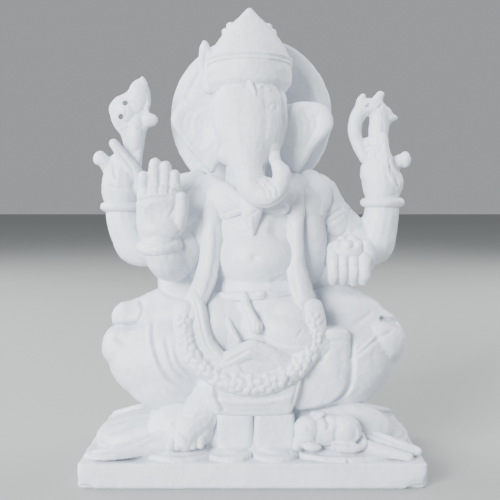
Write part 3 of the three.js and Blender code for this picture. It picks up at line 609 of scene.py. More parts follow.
def cloud_group():
    """Faint clouds and hair-thin veins: a mask of the shade."""
    group, entry, leave = new_group("marble_clouds", {"Spot": None, "Scale": 22.0}, ["Shade"])
    spot = entry.outputs["Spot"]
    clouds = add_node(group, "ShaderNodeTexNoise", {
        "Vector": spot, "Scale": entry.outputs["Scale"], "Detail": 5, "Distortion": 0.8})
    veins = add_node(group, "ShaderNodeTexNoise", {
        "Vector": spot, "Scale": 34, "Detail": 4, "Distortion": 1.6})
    line = add_node(group, "ShaderNodeMath", {0: veins.outputs["Fac"], 1: 0.5},
                    operation="SUBTRACT")
    size = add_node(group, "ShaderNodeMath", {0: line.outputs[0]}, operation="ABSOLUTE")
    vein = add_node(group, "ShaderNodeMapRange", {
        "Value": size.outputs[0], "From Min": 0.0, "From Max": 0.02, "To Min": 0.35, "To Max": 0.0})
    cloud = add_node(group, "ShaderNodeMapRange", {
        "Value": clouds.outputs["Fac"], "From Min": 0.38, "From Max": 0.72})
    both = add_node(group, "ShaderNodeMath", {
        0: cloud.outputs["Result"], 1: vein.outputs["Result"]}, clamp=True, operation="ADD")
    group.links.new(both.outputs[0], leave.inputs["Shade"])
    return group


def crystal_group():
    """Sugary crystals and tool marks: how rough and how high the surface is."""
    group, entry, leave = new_group(
        "marble_crystals", {"Spot": None, "Crystal scale": 900.0, "Roughness": 0.46},
        ["Roughness", "Height"])
    spot = entry.outputs["Spot"]
    crystals = add_node(group, "ShaderNodeTexVoronoi", {
        "Vector": spot, "Scale": entry.outputs["Crystal scale"]})
    split = add_node(group, "ShaderNodeSeparateColor", {"Color": crystals.outputs["Color"]})
    glint = add_node(group, "ShaderNodeMapRange", {
        "Value": split.outputs["Red"], "From Min": 0.0, "From Max": 1.0,
        "To Min": -0.16, "To Max": 0.14})
    rough = add_node(group, "ShaderNodeMath", {
        0: entry.outputs["Roughness"], 1: glint.outputs["Result"]}, clamp=True, operation="ADD")
    group.links.new(rough.outputs[0], leave.inputs["Roughness"])
    marks = add_node(group, "ShaderNodeTexNoise", {
        "Vector": spot, "Scale": 420, "Detail": 4, "Roughness": 0.62})
    height = add_node(group, "ShaderNodeMath", {
        0: crystals.outputs["Distance"], 1: 0.3, 2: marks.outputs["Fac"]},
        operation="MULTIPLY_ADD")
    group.links.new(height.outputs[0], leave.inputs["Height"])
    return group


def marble():
    """The idol's white marble, built once."""
    found = bpy.data.materials.get("white_marble")
    if found:
        return found
    stone = bpy.context.scene.idol_stone
    material = bpy.data.materials.new("white_marble")
    material.use_nodes = True
    nodes, links = material.node_tree.nodes, material.node_tree.links
    shader = nodes["Principled BSDF"]
    shader.inputs["IOR"].default_value = 1.5
    shader.inputs["Specular IOR Level"].default_value = 0.42
    shader.inputs["Subsurface Weight"].default_value = 0.12
    shader.inputs["Subsurface Radius"].default_value = (1.0, 0.9, 0.8)
    shader.inputs["Subsurface Scale"].default_value = 0.003
    place = nodes.new("ShaderNodeTexCoord")
    clouds = nodes.new("ShaderNodeGroup")
    clouds.node_tree = cloud_group()
    links.new(place.outputs["Object"], clouds.inputs["Spot"])
    tone = nodes.new("ShaderNodeMix")
    tone.data_type = "RGBA"
    tone.inputs["A"].default_value = (*stone.white, 1)
    tone.inputs["B"].default_value = (*stone.shade, 1)
    links.new(clouds.outputs["Shade"], tone.inputs["Factor"])
    links.new(tone.outputs["Result"], shader.inputs["Base Color"])
    crystals = nodes.new("ShaderNodeGroup")
    crystals.node_tree = crystal_group()
    crystals.inputs["Crystal scale"].default_value = 1 / stone.grain
    crystals.inputs["Roughness"].default_value = stone.polish
    links.new(place.outputs["Object"], crystals.inputs["Spot"])
    links.new(crystals.outputs["Roughness"], shader.inputs["Roughness"])
    bump = nodes.new("ShaderNodeBump")
    bump.inputs["Strength"].default_value = 0.5
    bump.inputs["Distance"].default_value = 0.0005
    links.new(crystals.outputs["Height"], bump.inputs["Height"])
    links.new(bump.outputs["Normal"], shader.inputs["Normal"])
    return material


def finish_piece(piece, *nodes, floor=None):
    """Dresses a piece in marble and sets it in the frame, in place of its CAD nodes."""
    dress(piece, floor)
    piece.data.materials.clear()
    piece.data.materials.append(marble())
    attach(piece, "root")
    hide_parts(*nodes)


def grains():
    """The coarse, medium and fine mesh sizes."""
    carving = bpy.context.scene.idol_carving
    return carving.coarse, carving.medium, carving.fine


# ---------------------------------------------------------------- slab, seat and petals

class IDOL_OT_slab(bpy.types.Operator):
    """The plain slab that the idol stands on"""
    bl_idname = "idol.slab"
    bl_label = "Base Slab"

    def execute(self, context):
        coarse, _, _ = grains()
        low, high = corners("base_slab")
        clay = Clay(GROUND)
        swell = Vector((0.9, 0.5, 0))
        clay.block(low - GROUND - swell, high - GROUND + swell, corner=3, edge=1.6)
        chisel = clay.skin("base_slab_stone", coarse * 1.05, soften=3)
        half_wide = (high.x - low.x) / 2
        chisel.groove([(-half_wide, 1.0), (-half_wide + 5, -0.5)], 8, 3.0, ends=0)
        chisel.groove([(half_wide, 1.5), (half_wide - 6, -0.5)], 8, 3.4, ends=0)
        chisel.groove([(-half_wide, 13.6), (-40, 13.2), (30, 12.6), (half_wide, 13)],
                      1.6, 0.35, ends=0)
        chisel.finish("base_slab", floor=GROUND.z)
        return {"FINISHED"}


class IDOL_OT_seat(bpy.types.Operator):
    """The lotus seat between the slab and the crossed legs"""
    bl_idname = "idol.seat"
    bl_label = "Lotus Seat"

    def execute(self, context):
        _, medium, _ = grains()
        clay = Clay(SLAB)
        clay.turned([(0, 0.2), (76, 0.2), (73, 10), (68, 20), (66, 26), (66, 32), (0, 32)],
                    flat=0.6)
        chisel = clay.skin("lotus_seat_stone", medium * 1.2, soften=5)
        chisel.finish("lotus_seat")
        return {"FINISHED"}


class IDOL_OT_front_petals(bpy.types.Operator):
    """Short petals along the front: flat lips, and two upright panels in the middle"""
    bl_idname = "idol.front_petals"
    bl_label = "Front Petals"

    lips = (
        ("petal_front_1", -46, 46, 4.4),
        ("petal_front_2", -14, 31, 5.0),
        ("petal_front_3", 14.6, 32, 4.8),
        ("petal_front_4", 59, 66, 4.4),
    )
    panels = {"petal_front_2": (-22.5, 0.6), "petal_front_3": (1.0, 27)}

    def execute(self, context):
        _, _, fine = grains()
        for node, x, width, thick in self.lips:
            clay = Clay(SLAB)
            clay.leaf((x, -32, 3.6), (x, -56, 2.6), width / 2, thick, cup=0.3, curl=0.2, point=0.2)
            clay.ball((x, -38, 2), (width * 0.46, 15, 5))
            if node in self.panels:
                left, right = self.panels[node]
                clay.block((left, -45.6, 3), (right, -30, 28), corner=3.4, edge=2.6)
            else:
                clay.ball((x, -27, 10), (width * 0.5, 16, 21))
            chisel = clay.skin(f"{node}_stone", fine * 1.15, soften=8)
            if node in self.panels:
                chisel.groove([(left, 5), ((left + right) / 2, 3.4), (right, 5)],
                              1.8, 1.4, straight=True)
            chisel.finish(node)
        return {"FINISHED"}


class IDOL_OT_corner_petals(bpy.types.Operator):
    """Broad petals that sweep from under the knees to the slab's corners"""
    bl_idname = "idol.corner_petals"
    bl_label = "Corner Petals"

    def execute(self, context):
        _, medium, _ = grains()
        right = Clay(SLAB)
        right.leaf((-50, 4, 20), (-105, 4, 2.4), 42, 7, cup=-3, curl=0.4, point=0.25)
        right.ball((-66, 0, 2), (40, 50, 14))
        right.ball((-58, -22, 3), (30, 27, 13))
        right.roll([(-45, -36, 14, 4.6), (-60, -40, 10.6, 4.6), (-74, -45, 7, 4.4),
                    (-89, -49, 4, 3.8), (-102, -50.5, 2, 3.2)])
        right.leaf((-50, -40, 3), (-103, -53, 1.2), 10, 3.6, cup=0.3)
        right.roll([(-78, 24, 11, 6), (-90, 32, 7, 5), (-99, 37, 5, 3.6)])
        left = Clay(SLAB)
        left.leaf((50, 4, 20), (105, 4, 2.4), 42, 7, cup=-3, curl=0.4, point=0.25)
        left.ball((66, 0, 2), (40, 50, 14))
        left.ball((58, -22, 3), (30, 27, 13))
        left.roll([(58, -36, 15, 4), (76, -39, 11.6, 4), (90, -42.6, 7.4, 3.8),
                   (104, -45, 3.2, 3.2)])
        left.roll([(62, -44, 9.6, 3.8), (74, -48, 7, 4), (86, -51, 4.2, 3.6), (97, -53.4, 2.2, 3)])
        left.roll([(78, 26, 11, 6), (91, 36, 7, 5), (100, 42, 5, 3.8)])
        for clay, side in ((right, "right"), (left, "left")):
            chisel = clay.skin(f"corner_petal_{side}", medium, soften=4)
            sign = -1 if side == "right" else 1
            chisel.face(ABOVE)
            for y in (-26, -10, 8, 26):
                chisel.groove([(sign * 62, y * 0.6), (sign * 80, y * 0.9), (sign * 98, y)], 5, 0.7)
            chisel.face(FRONT)
            if side == "right":
                chisel.groove([(-48, 21), (-63, 14.4), (-78, 9), (-93, 6), (-104, 5)],
                              2.2, 2.4, ends=0.05)
            else:
                chisel.groove([(70, 16), (83, 11.8), (94, 7.6), (104, 5.4)], 2.2, 2.2, ends=0.05)
            chisel.finish(f"petal_corner_{side}")
        return {"FINISHED"}


class IDOL_OT_back_petals(bpy.types.Operator):
    """Three upright petals along the back, each over a flat lip"""
    bl_idname = "idol.back_petals"
    bl_label = "Back Petals"

    def execute(self, context):
        _, medium, _ = grains()
        for number, x in ((1, -46.5), (2, 0), (3, 46.5)):
            inward = 4 if number == 2 else 0
            clay = Clay(SLAB)
            clay.leaf((x, 32, 3.4), (x, 56, 2.4), 22, 5, cup=0.4, point=0.25)
            clay.ball((x, 38, 2), (20, 14, 6))
            clay.leaf((x, 44 + inward, 1), (x * 0.97, 36 + inward, 28), 20, 8,
                      cup=-2, up=(0, 1, 0), point=0.35)
            clay.ball((x, 34 + inward, 12), (17, 9, 12))
            chisel = clay.skin(f"petal_back_{number}_stone", medium, soften=4)
            chisel.face(BACK)
            chisel.ridge([(x, 4), (x * 0.98, 14), (x * 0.96, 24)], 2.6, 0.8)
            chisel.groove([(x - 13, 6), (x - 14, 16), (x - 8, 24), (x, 27.5), (x + 8, 24),
                           (x + 14, 16), (x + 13, 6)], 2, 0.8)
            chisel.finish(f"petal_back_{number}")
        return {"FINISHED"}


class IDOL_OT_mouse(bpy.types.Operator):
    """The mouse that lies on the left front petal and looks towards the middle"""
    bl_idname = "idol.mouse"
    bl_label = "Mouse"

    def execute(self, context):
        _, _, fine = grains()
        clay = Clay(MOUSE)
        clay.ball((0.5, 1.5, -0.6), (19, 9.2, 9.8))
        clay.ball((10, -0.6, -0.2), (10, 8.6, 10.6))
        clay.ball((-14, -0.8, 0.6), (8.6, 8, 9), turn=(0, -18, 0))
        clay.roll([(-14, -1.5, -2, 7.4), (-18.5, -3, -6.5, 5), (-20.5, -3.8, -9, 3.2)])
        clay.ball((-7, -0.4, 8.2), (5.2, 3.4, 3.2), turn=(0, -32, 0))
        clay.ball((-9.5, 4, 8), (4.6, 2.6, 3), turn=(0, -30, 0))
        clay.ball((9, -7.2, -8), (9, 3, 2.7))
        clay.ball((-11, -6.6, -9), (6, 3, 2.4))
        clay.roll([(20, 2, -4, 2.4), (21.5, -4, -8, 2.2), (15, -8.2, -9.6, 2), (5, -8.6, -10, 1.6)])
        chisel = clay.skin("mouse_stone", fine * 0.85, soften=4)
        chisel.groove([(-3.6, 10), (-1, 6), (-2, 2)], 2.4, 2.2)
        chisel.ridge([(10, 7), (15.5, 4.5), (17.5, -1), (15, -6)], 1.6, 0.9)
        chisel.groove([(6, 6), (3, 0), (4, -6)], 2.2, 0.8)
        chisel.groove([(-2, -6.4), (6, -5.4), (14, -6.2)], 1.4, 1.0)
        chisel.groove([(-20, -5.5), (-16.5, -6.4), (-13, -5.4)], 1.1, 0.7)
        chisel.dome((-16, 3), 1.5, 0.6)
        chisel.finish("mouse")
        return {"FINISHED"}


class IDOL_OT_foot(bpy.types.Operator):
    """The right foot, which hangs from the crossed legs on to its petal"""
    bl_idname = "idol.foot"
    bl_label = "Hanging Foot"

    def execute(self, context):
        _, _, fine = grains()
        clay = Clay(FOOT)
        clay.roll([(12, 10, 12, 13), (7, 3, 3, 12.5), (1, -5, -4, 10.4), (-1, -10.5, -8.4, 7)])
        clay.ball((-4, -2, -5), (9, 10, 8))
        clay.ball((9, -1, -5), (7, 9, 9))
        for i in range(5):
            clay.roll([(-8 + 4.2 * i, -9, -8.4, 3.4),
                       (-10 + 4.7 * i, -14.6 + 0.5 * i, -11, 3.1 - 0.14 * i)])
        chisel = clay.skin("hanging_foot_stone", fine * 0.9, soften=4)
        chisel.ridge([(-14, 4), (-8, -2), (0, -8)], 2.2, 0.8)
        chisel.groove([(-8, 8), (2, 6), (12, 7.4)], 1.6, 0.8)
        chisel.finish("hanging_foot")
        return {"FINISHED"}


# ---------------------------------------------------------------- legs and dhoti

class IDOL_OT_legs(bpy.types.Operator):
    """The crossed legs under their wrapped dhoti"""
    bl_idname = "idol.legs"
    bl_label = "Legs and Dhoti"

    def execute(self, context):
        _, medium, _ = grains()
        clay = Clay(LAP)
        clay.ball((2, -2, -4), (56, 40, 30))
        clay.ball((2, 6, 14), (48, 34, 26))
        clay.ball((-56, -4, 0), (41, 38, 31))
        clay.ball((-83, -6, 8), (18, 23, 16.5))
        clay.roll([(-28, 6, 20, 27), (-56, 0, 23.5, 24.5), (-72, -5, 25, 18),
                   (-82, -8, 26.5, 12.2)])
        clay.ball((56, -4, 0), (41, 38, 31))
        clay.ball((85, -6, 11), (18, 23, 18.5))
        clay.ball((-55, -3, -10), (33, 37, 26))
        clay.ball((55, -3, -10), (33, 37, 26))
        clay.ball((0, 0, -14), (66, 40, 22))
        clay.ball((40, -8, -14), (30, 34, 21))
        clay.ball((34, -14, -19), (24, 28, 15))
        clay.ball((-22, -24, 22), (20, 19, 24))
        clay.roll([(30, 6, 20, 27), (58, 0, 23.5, 26), (75, -4, 22, 20), (84, -7, 20, 14)])
        chisel = clay.skin("legs_and_dhoti", medium * 1.06, soften=6)
        # The right knee: the shin's end over a deep slit, and pleats that hang in curves.
        chisel.groove([(-98, 20.5), (-92, 21.5), (-83, 22.3), (-75, 24)],
                      3.2, 7.5, ends=0.06, straight=True)
        chisel.groove([(-90, 17), (-82, 13), (-76, 7)], 4.5, 2.2)
        chisel.edge([(-76, 25), (-73.5, 30), (-73, 35), (-75, 39)], 1.2, 6)
        chisel.dome((-73.5, 37), 2.6, -1.6)
        chisel.hollow((-51, 46), (13, 6), 3.2, turn=-6)
        for line, high in (
            ([(-67, 26), (-65, 14), (-61, 3), (-56, -7), (-48, -14), (-38, -18), (-27, -19)], 1.5),
            ([(-58, 18), (-55, 8), (-51, -2), (-44, -9), (-36, -13)], 1.1),
            ([(-52, 12), (-49, 3), (-44, -4), (-37, -9.5)], 0.9),
            ([(-57, -15), (-51, -20), (-42, -23), (-30, -24.5)], 1.2),
        ):
            chisel.ridge(line, 2.4, high)
            chisel.groove([(x + 2.2, z + 2.2) for x, z in line], 2.4, high * 0.8)
        chisel.groove([(-46, -28), (-36, -26), (-28, -27)], 2.2, 1.4)
        # The left knee: folds run up to a slit, beside the smooth hanging panel.
        chisel.groove([(84, 27.6), (90, 25.8), (98, 22.6)], 3.0, 7.5, ends=0.08, straight=True)
        chisel.edge([(60, 4), (68, 10.5), (77, 17), (86, 24)][::-1], 1.5, 8)
        chisel.groove([(60, 4), (68, 8.5), (78, 14.5), (92, 21)], 2.0, 1.8)
        chisel.groove([(63, 22), (72, 27.5), (80, 33)], 3.2, 1.1)
        for z in (38.5, 34, 29.5):
            chisel.groove([(46, z), (56, z + 0.6), (66, z + 1.4)], 1.5, 0.6)
        chisel.groove([(64, 20), (63, 10), (63, -2), (61, -14), (54, -21), (44, -24), (30, -25)],
                      2.6, 3.2, ends=0.08, straight=True)
        chisel.groove([(42, 47), (44.5, 36), (47, 25), (44, 13), (38, 5), (29, -5), (21, -10)],
                      2.8, 3.4, ends=0.06, straight=True)
        # Behind, the cloth's folds spread from the hips.
        chisel.face(BACK)
        for line in (
            [(-12, 30), (-34, 22), (-58, 18), (-78, 20)],
            [(-10, 18), (-32, 6), (-58, 2), (-82, 6)],
            [(-8, 2), (-28, -10), (-52, -14), (-70, -12)],
        ):
            for stroke in (line, flipped_sides(line)):
                chisel.ridge(stroke, 3.4, 1.0)
                chisel.groove([(x, z - 3) for x, z in stroke], 3.0, 1.0)
        chisel.finish("lap", "leg_right", "leg_left")
        return {"FINISHED"}


class IDOL_OT_lap_cloth(bpy.types.Operator):
    """Cloth in front of the legs: crossed shin, apron, side panel"""
    bl_idname = "idol.lap_cloth"
    bl_label = "Lap Cloth"

    def execute(self, context):
        _, _, fine = grains()
        clay = Clay(LAP)
        clay.roll([(48, -32, 12, 12), (34, -37, 16, 13), (22, -38, 21, 13.5), (14, -36, 25, 12.5)])
        clay.ball((23, -33, 31), (17, 13, 12.5))
        clay.ball((-16, -31, 22), (24, 11, 20))
        clay.ball((4, -32, 24), (20, 11, 15))
        clay.ball((10, -28, 36), (26, 14, 11))
        clay.bar([(24, -44, 3, 6.5, 7), (14, -46.5, 7.5, 6.5, 7), (0, -48, 12, 6.5, 6.5)])
        clay.bar([(-20, -45, 2, 6, 6), (-12, -47, 7, 6.5, 6.5), (0, -48, 12.4, 6.5, 6.5)])
        clay.ball((2, -44, 2), (22, 9, 10))
        chisel = clay.skin("crossed_shins", fine * 1.1, soften=5)
        chisel.edge([(33, 14), (24, 15), (16, 16), (8, 21)], 1.0, 5)
        chisel.ridge([(-19, 9), (-10, 14.4), (-1, 19), (8, 15), (18, 9)], 2.0, 0.8)
        chisel.groove([(-18, 4), (-9, 9.4), (-1, 13.6), (7, 10), (16, 4.6)], 2.0, 1.0)
        chisel.groove([(27, 20), (31, 25)], 1.5, 0.8)
        chisel.finish("folded_shin")

        clay = Clay(LAP)
        clay.plate([(-28, -8), (-29, -16), (-25, -26), (-21.5, -30), (-2, -31), (21, -30),
                    (25.6, -26),
                    (29, -16), (31, -4), (28, 2), (2, 4), (-22, 2)], -50, -30, 3.2)
        clay.ball((30, -30, -14), (13, 14, 17))
        chisel = clay.skin("apron_cloth", fine * 1.15, soften=5)
        chisel.tuck_under(LAP.z - 8, 0.007)
        chisel.edge([(-26, -17.5), (-12, -19), (2, -19.4), (14, -18.2), (25, -15.5)][::-1], 1.4, 6)
        chisel.ridge([(-25, -9), (-24.6, -17), (-20, -26)], 2.4, 1.6)
        chisel.groove([(-21.5, -14), (-20.5, -20), (-17, -26)], 1.8, 1.0)
        chisel.groove([(28, -4), (27.4, -13), (24.4, -24)], 2.0, 1.0)
        for z in (-22.5, -26):
            chisel.groove([(-16, z), (0, z - 0.8), (17, z + 0.6)], 1.5, 0.45)
        chisel.finish("apron")

        clay = Clay(LAP)
        clay.plate([(26, -27), (40, -27), (52, -22), (60, -13), (62, 2), (62, 16), (60, 23.5),
                    (50, 24.5),
                    (44, 23), (45, 13), (38, 5), (30, -4)], -45, -26, 3.0)
        clay.ball((50, -38, 4), (13, 8, 20))
        chisel = clay.skin("side_panel_cloth", fine * 1.2, soften=6)
        chisel.tuck_under(LAP.z + 2, 0.005)
        chisel.tuck_beside(LAP.x + 44, 0.012)
        chisel.groove([(45, 17), (53, 17.5), (61, 16)], 1.7, 0.9)
        chisel.groove([(36, -1), (44, 6), (48, 14)], 2.6, 0.5)
        chisel.finish("side_panel")
        return {"FINISHED"}


# ---------------------------------------------------------------- torso

class IDOL_OT_torso(bpy.types.Operator):
    """Belly, chest, shoulders and neck"""
    bl_idname = "idol.torso"
    bl_label = "Torso"

    def execute(self, context):
        _, medium, _ = grains()
        clay = Clay(BELLY)
        clay.ball((4, -4, -1.6), (33.5, 34.5, 25.5))
        clay.ball((3, 0, 8), (33, 29, 22))
        clay.ball((2, 8, -14), (42, 30, 24))
        clay.ball((2, 7, 8), (38, 27, 26))
        clay.ball((2, 10, 30), (41, 22.5, 22))
        clay.ball((-13, -4, 30), (17, 13, 13))
        clay.ball((17, -4, 30), (17, 13, 13))
        clay.roll([(0.5, 12, 38, 21), (-1, 11, 48, 18), (-1.5, 9, 60, 16.5)])
        clay.ball((3, -5, 15), (33, 26, 21))
        clay.ball((4, -6, -22), (33, 28, 16))
        clay.ball((8, -10, -28), (27, 26.5, 12))
        clay.ball((-44, 8, -20), (21, 22, 20))
        clay.ball((46, 12, -14), (20, 20, 24))
        clay.ball((1, 12, -20), (57, 25, 19))
        clay.ball((-33, -6, 8), (15, 17, 30))
        clay.ball((37, -4, 8), (13, 16, 30))
        clay.ball((-34, -2, 30), (16, 17, 17))
        clay.ball((36, -1, 30), (15, 16, 16))
        clay.ball((-41, 9, 39), (15.5, 15, 16))
        clay.ball((43, 9, 39), (15.5, 15, 16))
        chisel = clay.skin("belly_and_chest", medium, soften=7)
        chisel.dome((1.5, 0), 2.2, -1.0)
        chisel.hollow((1.5, 0), (5, 4.6), 0.5)
        chisel.groove([(-16, 16), (2, 14.6), (20, 16)], 3.5, 0.5)
        chisel.groove([(22, -10), (12, -16), (0, -18)], 2.4, 0.6)
        chisel.hollow((17, 19), (8, 9), 2.0)
        chisel.face(BACK)
        chisel.groove([(2, 42), (2, 20), (2, -4), (2, -24)], 6, 2.0)
        for line in (
            [(-34, 44), (-20, 26), (-6, 8), (10, -10)],
            [(-38, 34), (-26, 16), (-12, -2), (4, -18)],
            [(-42, 20), (-32, 4), (-20, -10), (-6, -24)],
        ):
            chisel.ridge(line, 3.2, 1.1)
            chisel.groove([(x - 2, z - 3) for x, z in line], 2.8, 0.9)
        chisel.finish("belly", "chest", "shoulder_right", "shoulder_left")
        return {"FINISHED"}


class IDOL_OT_shawl(bpy.types.Operator):
    """The shawl over the chest, its two long ends, and the pendant"""
    bl_idname = "idol.shawl"
    bl_label = "Shawl and Pendant"

    def execute(self, context):
        _, _, fine = grains()
        round_body = (3, 6)
        clay = Clay(BELLY)
        clay.bar([(-27, 0, 47, 7, 6), (-26, -11, 38, 7.5, 6), (-26, -18, 26, 6.5, 6.5),
                  (-26.5, -22.5, 10, 6.4, 6.5), (-28, -25.5, -4, 7, 6.5),
                  (-30.5, -28.5, -15, 7.6, 6.5),
                  (-35, -34, -25, 8.2, 6), (-41, -38, -36, 8.4, 5)], about=round_body)
        chisel = clay.skin("shawl_end_right", fine * 1.1, soften=5)
        chisel.ridge([(-20.5, 22), (-20, 8), (-21.5, -6), (-24, -17), (-29, -28)], 1.6, 0.8)
        chisel.groove([(-23.5, 22), (-23, 8), (-24.5, -6), (-27, -17), (-32, -28)], 2.4, 0.8)
        chisel.ridge([(-32.5, 18), (-33, 2), (-36, -12), (-41, -24)], 1.8, 0.7)
        chisel.finish("scarf_right")

        clay = Clay(BELLY)
        clay.bar([(31, 2, 47, 7, 6), (30, -10, 38, 6.5, 6), (28, -18, 27, 5.6, 6.5),
                  (27.5, -22, 16, 5.4, 6.5),
                  (27.5, -25, 4, 5.6, 6.5), (28, -27, -5, 6.2, 6.5), (30, -30, -15, 7.4, 6.5),
                  (33, -34.5, -26, 8.6, 6), (35.5, -38, -38, 8.6, 5)], about=round_body)
        chisel = clay.skin("shawl_end_left", fine * 1.1, soften=5)
        chisel.ridge([(23, 22), (22.4, 8), (22.4, -6), (24, -17), (26, -28)], 1.6, 0.9)
        chisel.groove([(26, 22), (25.4, 8), (25.6, -6), (27.4, -17), (30, -28)], 2.4, 0.7)
        chisel.groove([(24, 24.6), (32, 25.4)], 1.2, 0.9)
        for z in (20.5, 2.5):
            chisel.dome((23.5, z), 1.8, 0.9)
        chisel.finish("scarf_left")

        clay = Clay(BELLY)
        clay.bar([(-33, 0, 46, 11, 6), (-25, -12, 38, 13, 7), (-15, -19, 34, 11.5, 7),
                  (-5, -22, 33, 8, 6)])
        clay.bar([(33, 0, 46, 11, 6), (25, -12, 38, 12, 7), (17, -18, 33.4, 8.6, 7),
                  (8, -21, 32, 6, 6)])
        clay.bar([(-36, 8, 50, 9, 7), (-43, -3, 40, 11, 7), (-44, -9, 28, 9, 6)])
        clay.bar([(38, 8, 50, 9, 7), (44, -2, 40, 10, 7), (42, -9, 30, 8, 6)])
        clay.ball((20.5, -24.5, 31), (3.6, 3.2, 3.6))
        chisel = clay.skin("chest_shawl", fine * 1.1, soften=5)
        chisel.edge([(-23, 22), (-17, 24), (-11, 26), (-5, 28.5)], 1.3, 6)
        chisel.groove([(-26, 48), (-31, 40), (-34, 30), (-34, 22)], 2.4, 1.5)
        chisel.groove([(-30, 50), (-38, 42), (-42, 33)], 2.0, 1.0)
        chisel.ridge([(-28, 46), (-34, 38), (-38, 29)], 1.8, 0.8)
        chisel.groove([(27, 48), (33, 40), (35, 30), (35, 22)], 2.4, 1.5)
        chisel.groove([(31, 50), (38, 43), (43, 38)], 2.0, 0.9)
        chisel.groove([(-21, 27), (-13, 29.6), (-8, 31)], 1.4, 0.8)
        chisel.ridge([(-23, 41), (-14, 35), (-7, 33)], 2.2, 0.8)
        chisel.groove([(15, 25), (22, 24.2), (30, 25.4)], 1.3, 1.1)
        chisel.ridge([(15, 27), (22, 26.4), (30, 27.4)], 1.3, 0.8)
        chisel.finish("necklace")

        clay = Clay(BELLY)
        clay.bar([(-0.6, -27, 34, 7.4, 5), (-0.4, -30, 29, 7.2, 4.6), (-0.2, -31, 22, 4.6, 4),
                  (0.2, -31.5, 16, 1.9, 2.4)])
        chisel = clay.skin("pendant_stone", fine * 0.85, soften=4)
        chisel.groove([(-5, 30), (-1, 27.4), (4, 30)], 1.4, 0.8)
        chisel.ridge([(-0.6, 26), (-0.4, 18)], 1.4, 0.6)
        chisel.finish("pendant")
        return {"FINISHED"}


class IDOL_OT_belt(bpy.types.Operator):
    """The belt under the belly and the two tassels that hang from it"""
    bl_idname = "idol.belt"
    bl_label = "Belt and Tassels"

    def execute(self, context):
        _, _, fine = grains()
        clay = Clay(BELLY)
        clay.roll([(-33, -14, -27, 3.2), (-22, -26, -26, 3.4), (-8, -34.5, -25, 3.4),
                   (6, -36.5, -24.6, 3.4),
                   (19, -33, -23.6, 3.3), (29, -24, -20, 3), (36, -14, -17, 3)])
        clay.ball((5, -39.5, -23.4), (4.2, 3, 3.2))
        chisel = clay.skin("belt_roll", fine, soften=4)
        chisel.groove([(-24, -25), (-6, -24.6), (10, -24.2), (26, -21)], 1.2, 0.6)
        chisel.finish("belt")

        clay = Clay(BELLY)
        clay.roll([(-5, -38, -24, 2.9), (-3, -42.5, -31, 2.9), (0.5, -46, -38, 3.2),
                   (2.4, -47.4, -42.5, 4.4)])
        clay.roll([(-15.5, -40, -39, 2.2), (-13, -43.5, -45, 2.4), (-9, -46, -51, 2.0)])
        chisel = clay.skin("tassels", fine * 0.85, soften=4)
        for x in (-1.2, 2.2, 5.0):
            chisel.groove([(x, -38.5), (x + 0.4, -46)], 1.0, 0.6)
        chisel.finish("sash")
        return {"FINISHED"}


class IDOL_OT_garland(bpy.types.Operator):
    """The flower garland that hangs in a loop over the lap"""
    bl_idname = "idol.garland"
    bl_label = "Garland"

    outer = ((-43, -39, 37), (-42.5, -41, 24), (-38.5, -44, 11), (-30, -46.5, 1),
             (-19, -48.5, -5.4),
             (-6, -50, -8), (8, -50, -7.6), (21, -48.5, -3.4), (31, -46.5, 5), (37, -44, 14),
             (39, -42, 25), (37, -39, 38))
    wide = (7.5, 7.2, 7, 7, 7.4, 8, 8, 7.6, 7.4, 7.4, 7.6, 8)
    inner = ((-36, -37, 44), (-33, -41, 34), (-31, -43, 24), (-27, -45, 14), (-19, -47, 6),
             (-9, -48.5, 1))

    def execute(self, context):
        _, _, fine = grains()
        clay = Clay(LAP)
        clay.bar([(*spot, half, 5.2) for spot, half in zip(self.outer, self.wide)], sides=18)
        clay.bar([(*spot, 5, 4.6) for spot in self.inner], sides=16)
        chisel = clay.skin("flower_garland", fine, soften=4)
        path = [(x, z) for x, _, z in self.outer]
        inward = np.linspace(0.86, 0.84, len(path))
        chisel.groove([(x * share, z + 5 * (1 - abs(x) / 60)) for (x, z),
                       share in zip(path, inward)],
                      1.7, 0.9, ends=0.04)
        chisel.groove([(x, z) for x, _, z in self.inner], 1.6, 0.9)
        track = smooth_path(path, 8)
        run = np.concatenate([[0], np.cumsum(np.linalg.norm(np.diff(track, axis=0), axis=1))])
        flowers = 13
        for i in range(flowers):
            spot = run[-1] * (0.05 + 0.9 * i / (flowers - 1))
            at = [np.interp(spot, run, values) for values in track.T]
            radius = 6.8 if 2 <= i <= 10 else 5.4  # smaller towards the garland's ends
            chisel.flower(at, radius, 1.3, petals=5 + i % 2, turn=0.7 * i)
        chisel.dome((19, -5), 3.2, 1.6)
        chisel.finish("garland_loop")
        return {"FINISHED"}


# ---------------------------------------------------------------- head, crown and halo

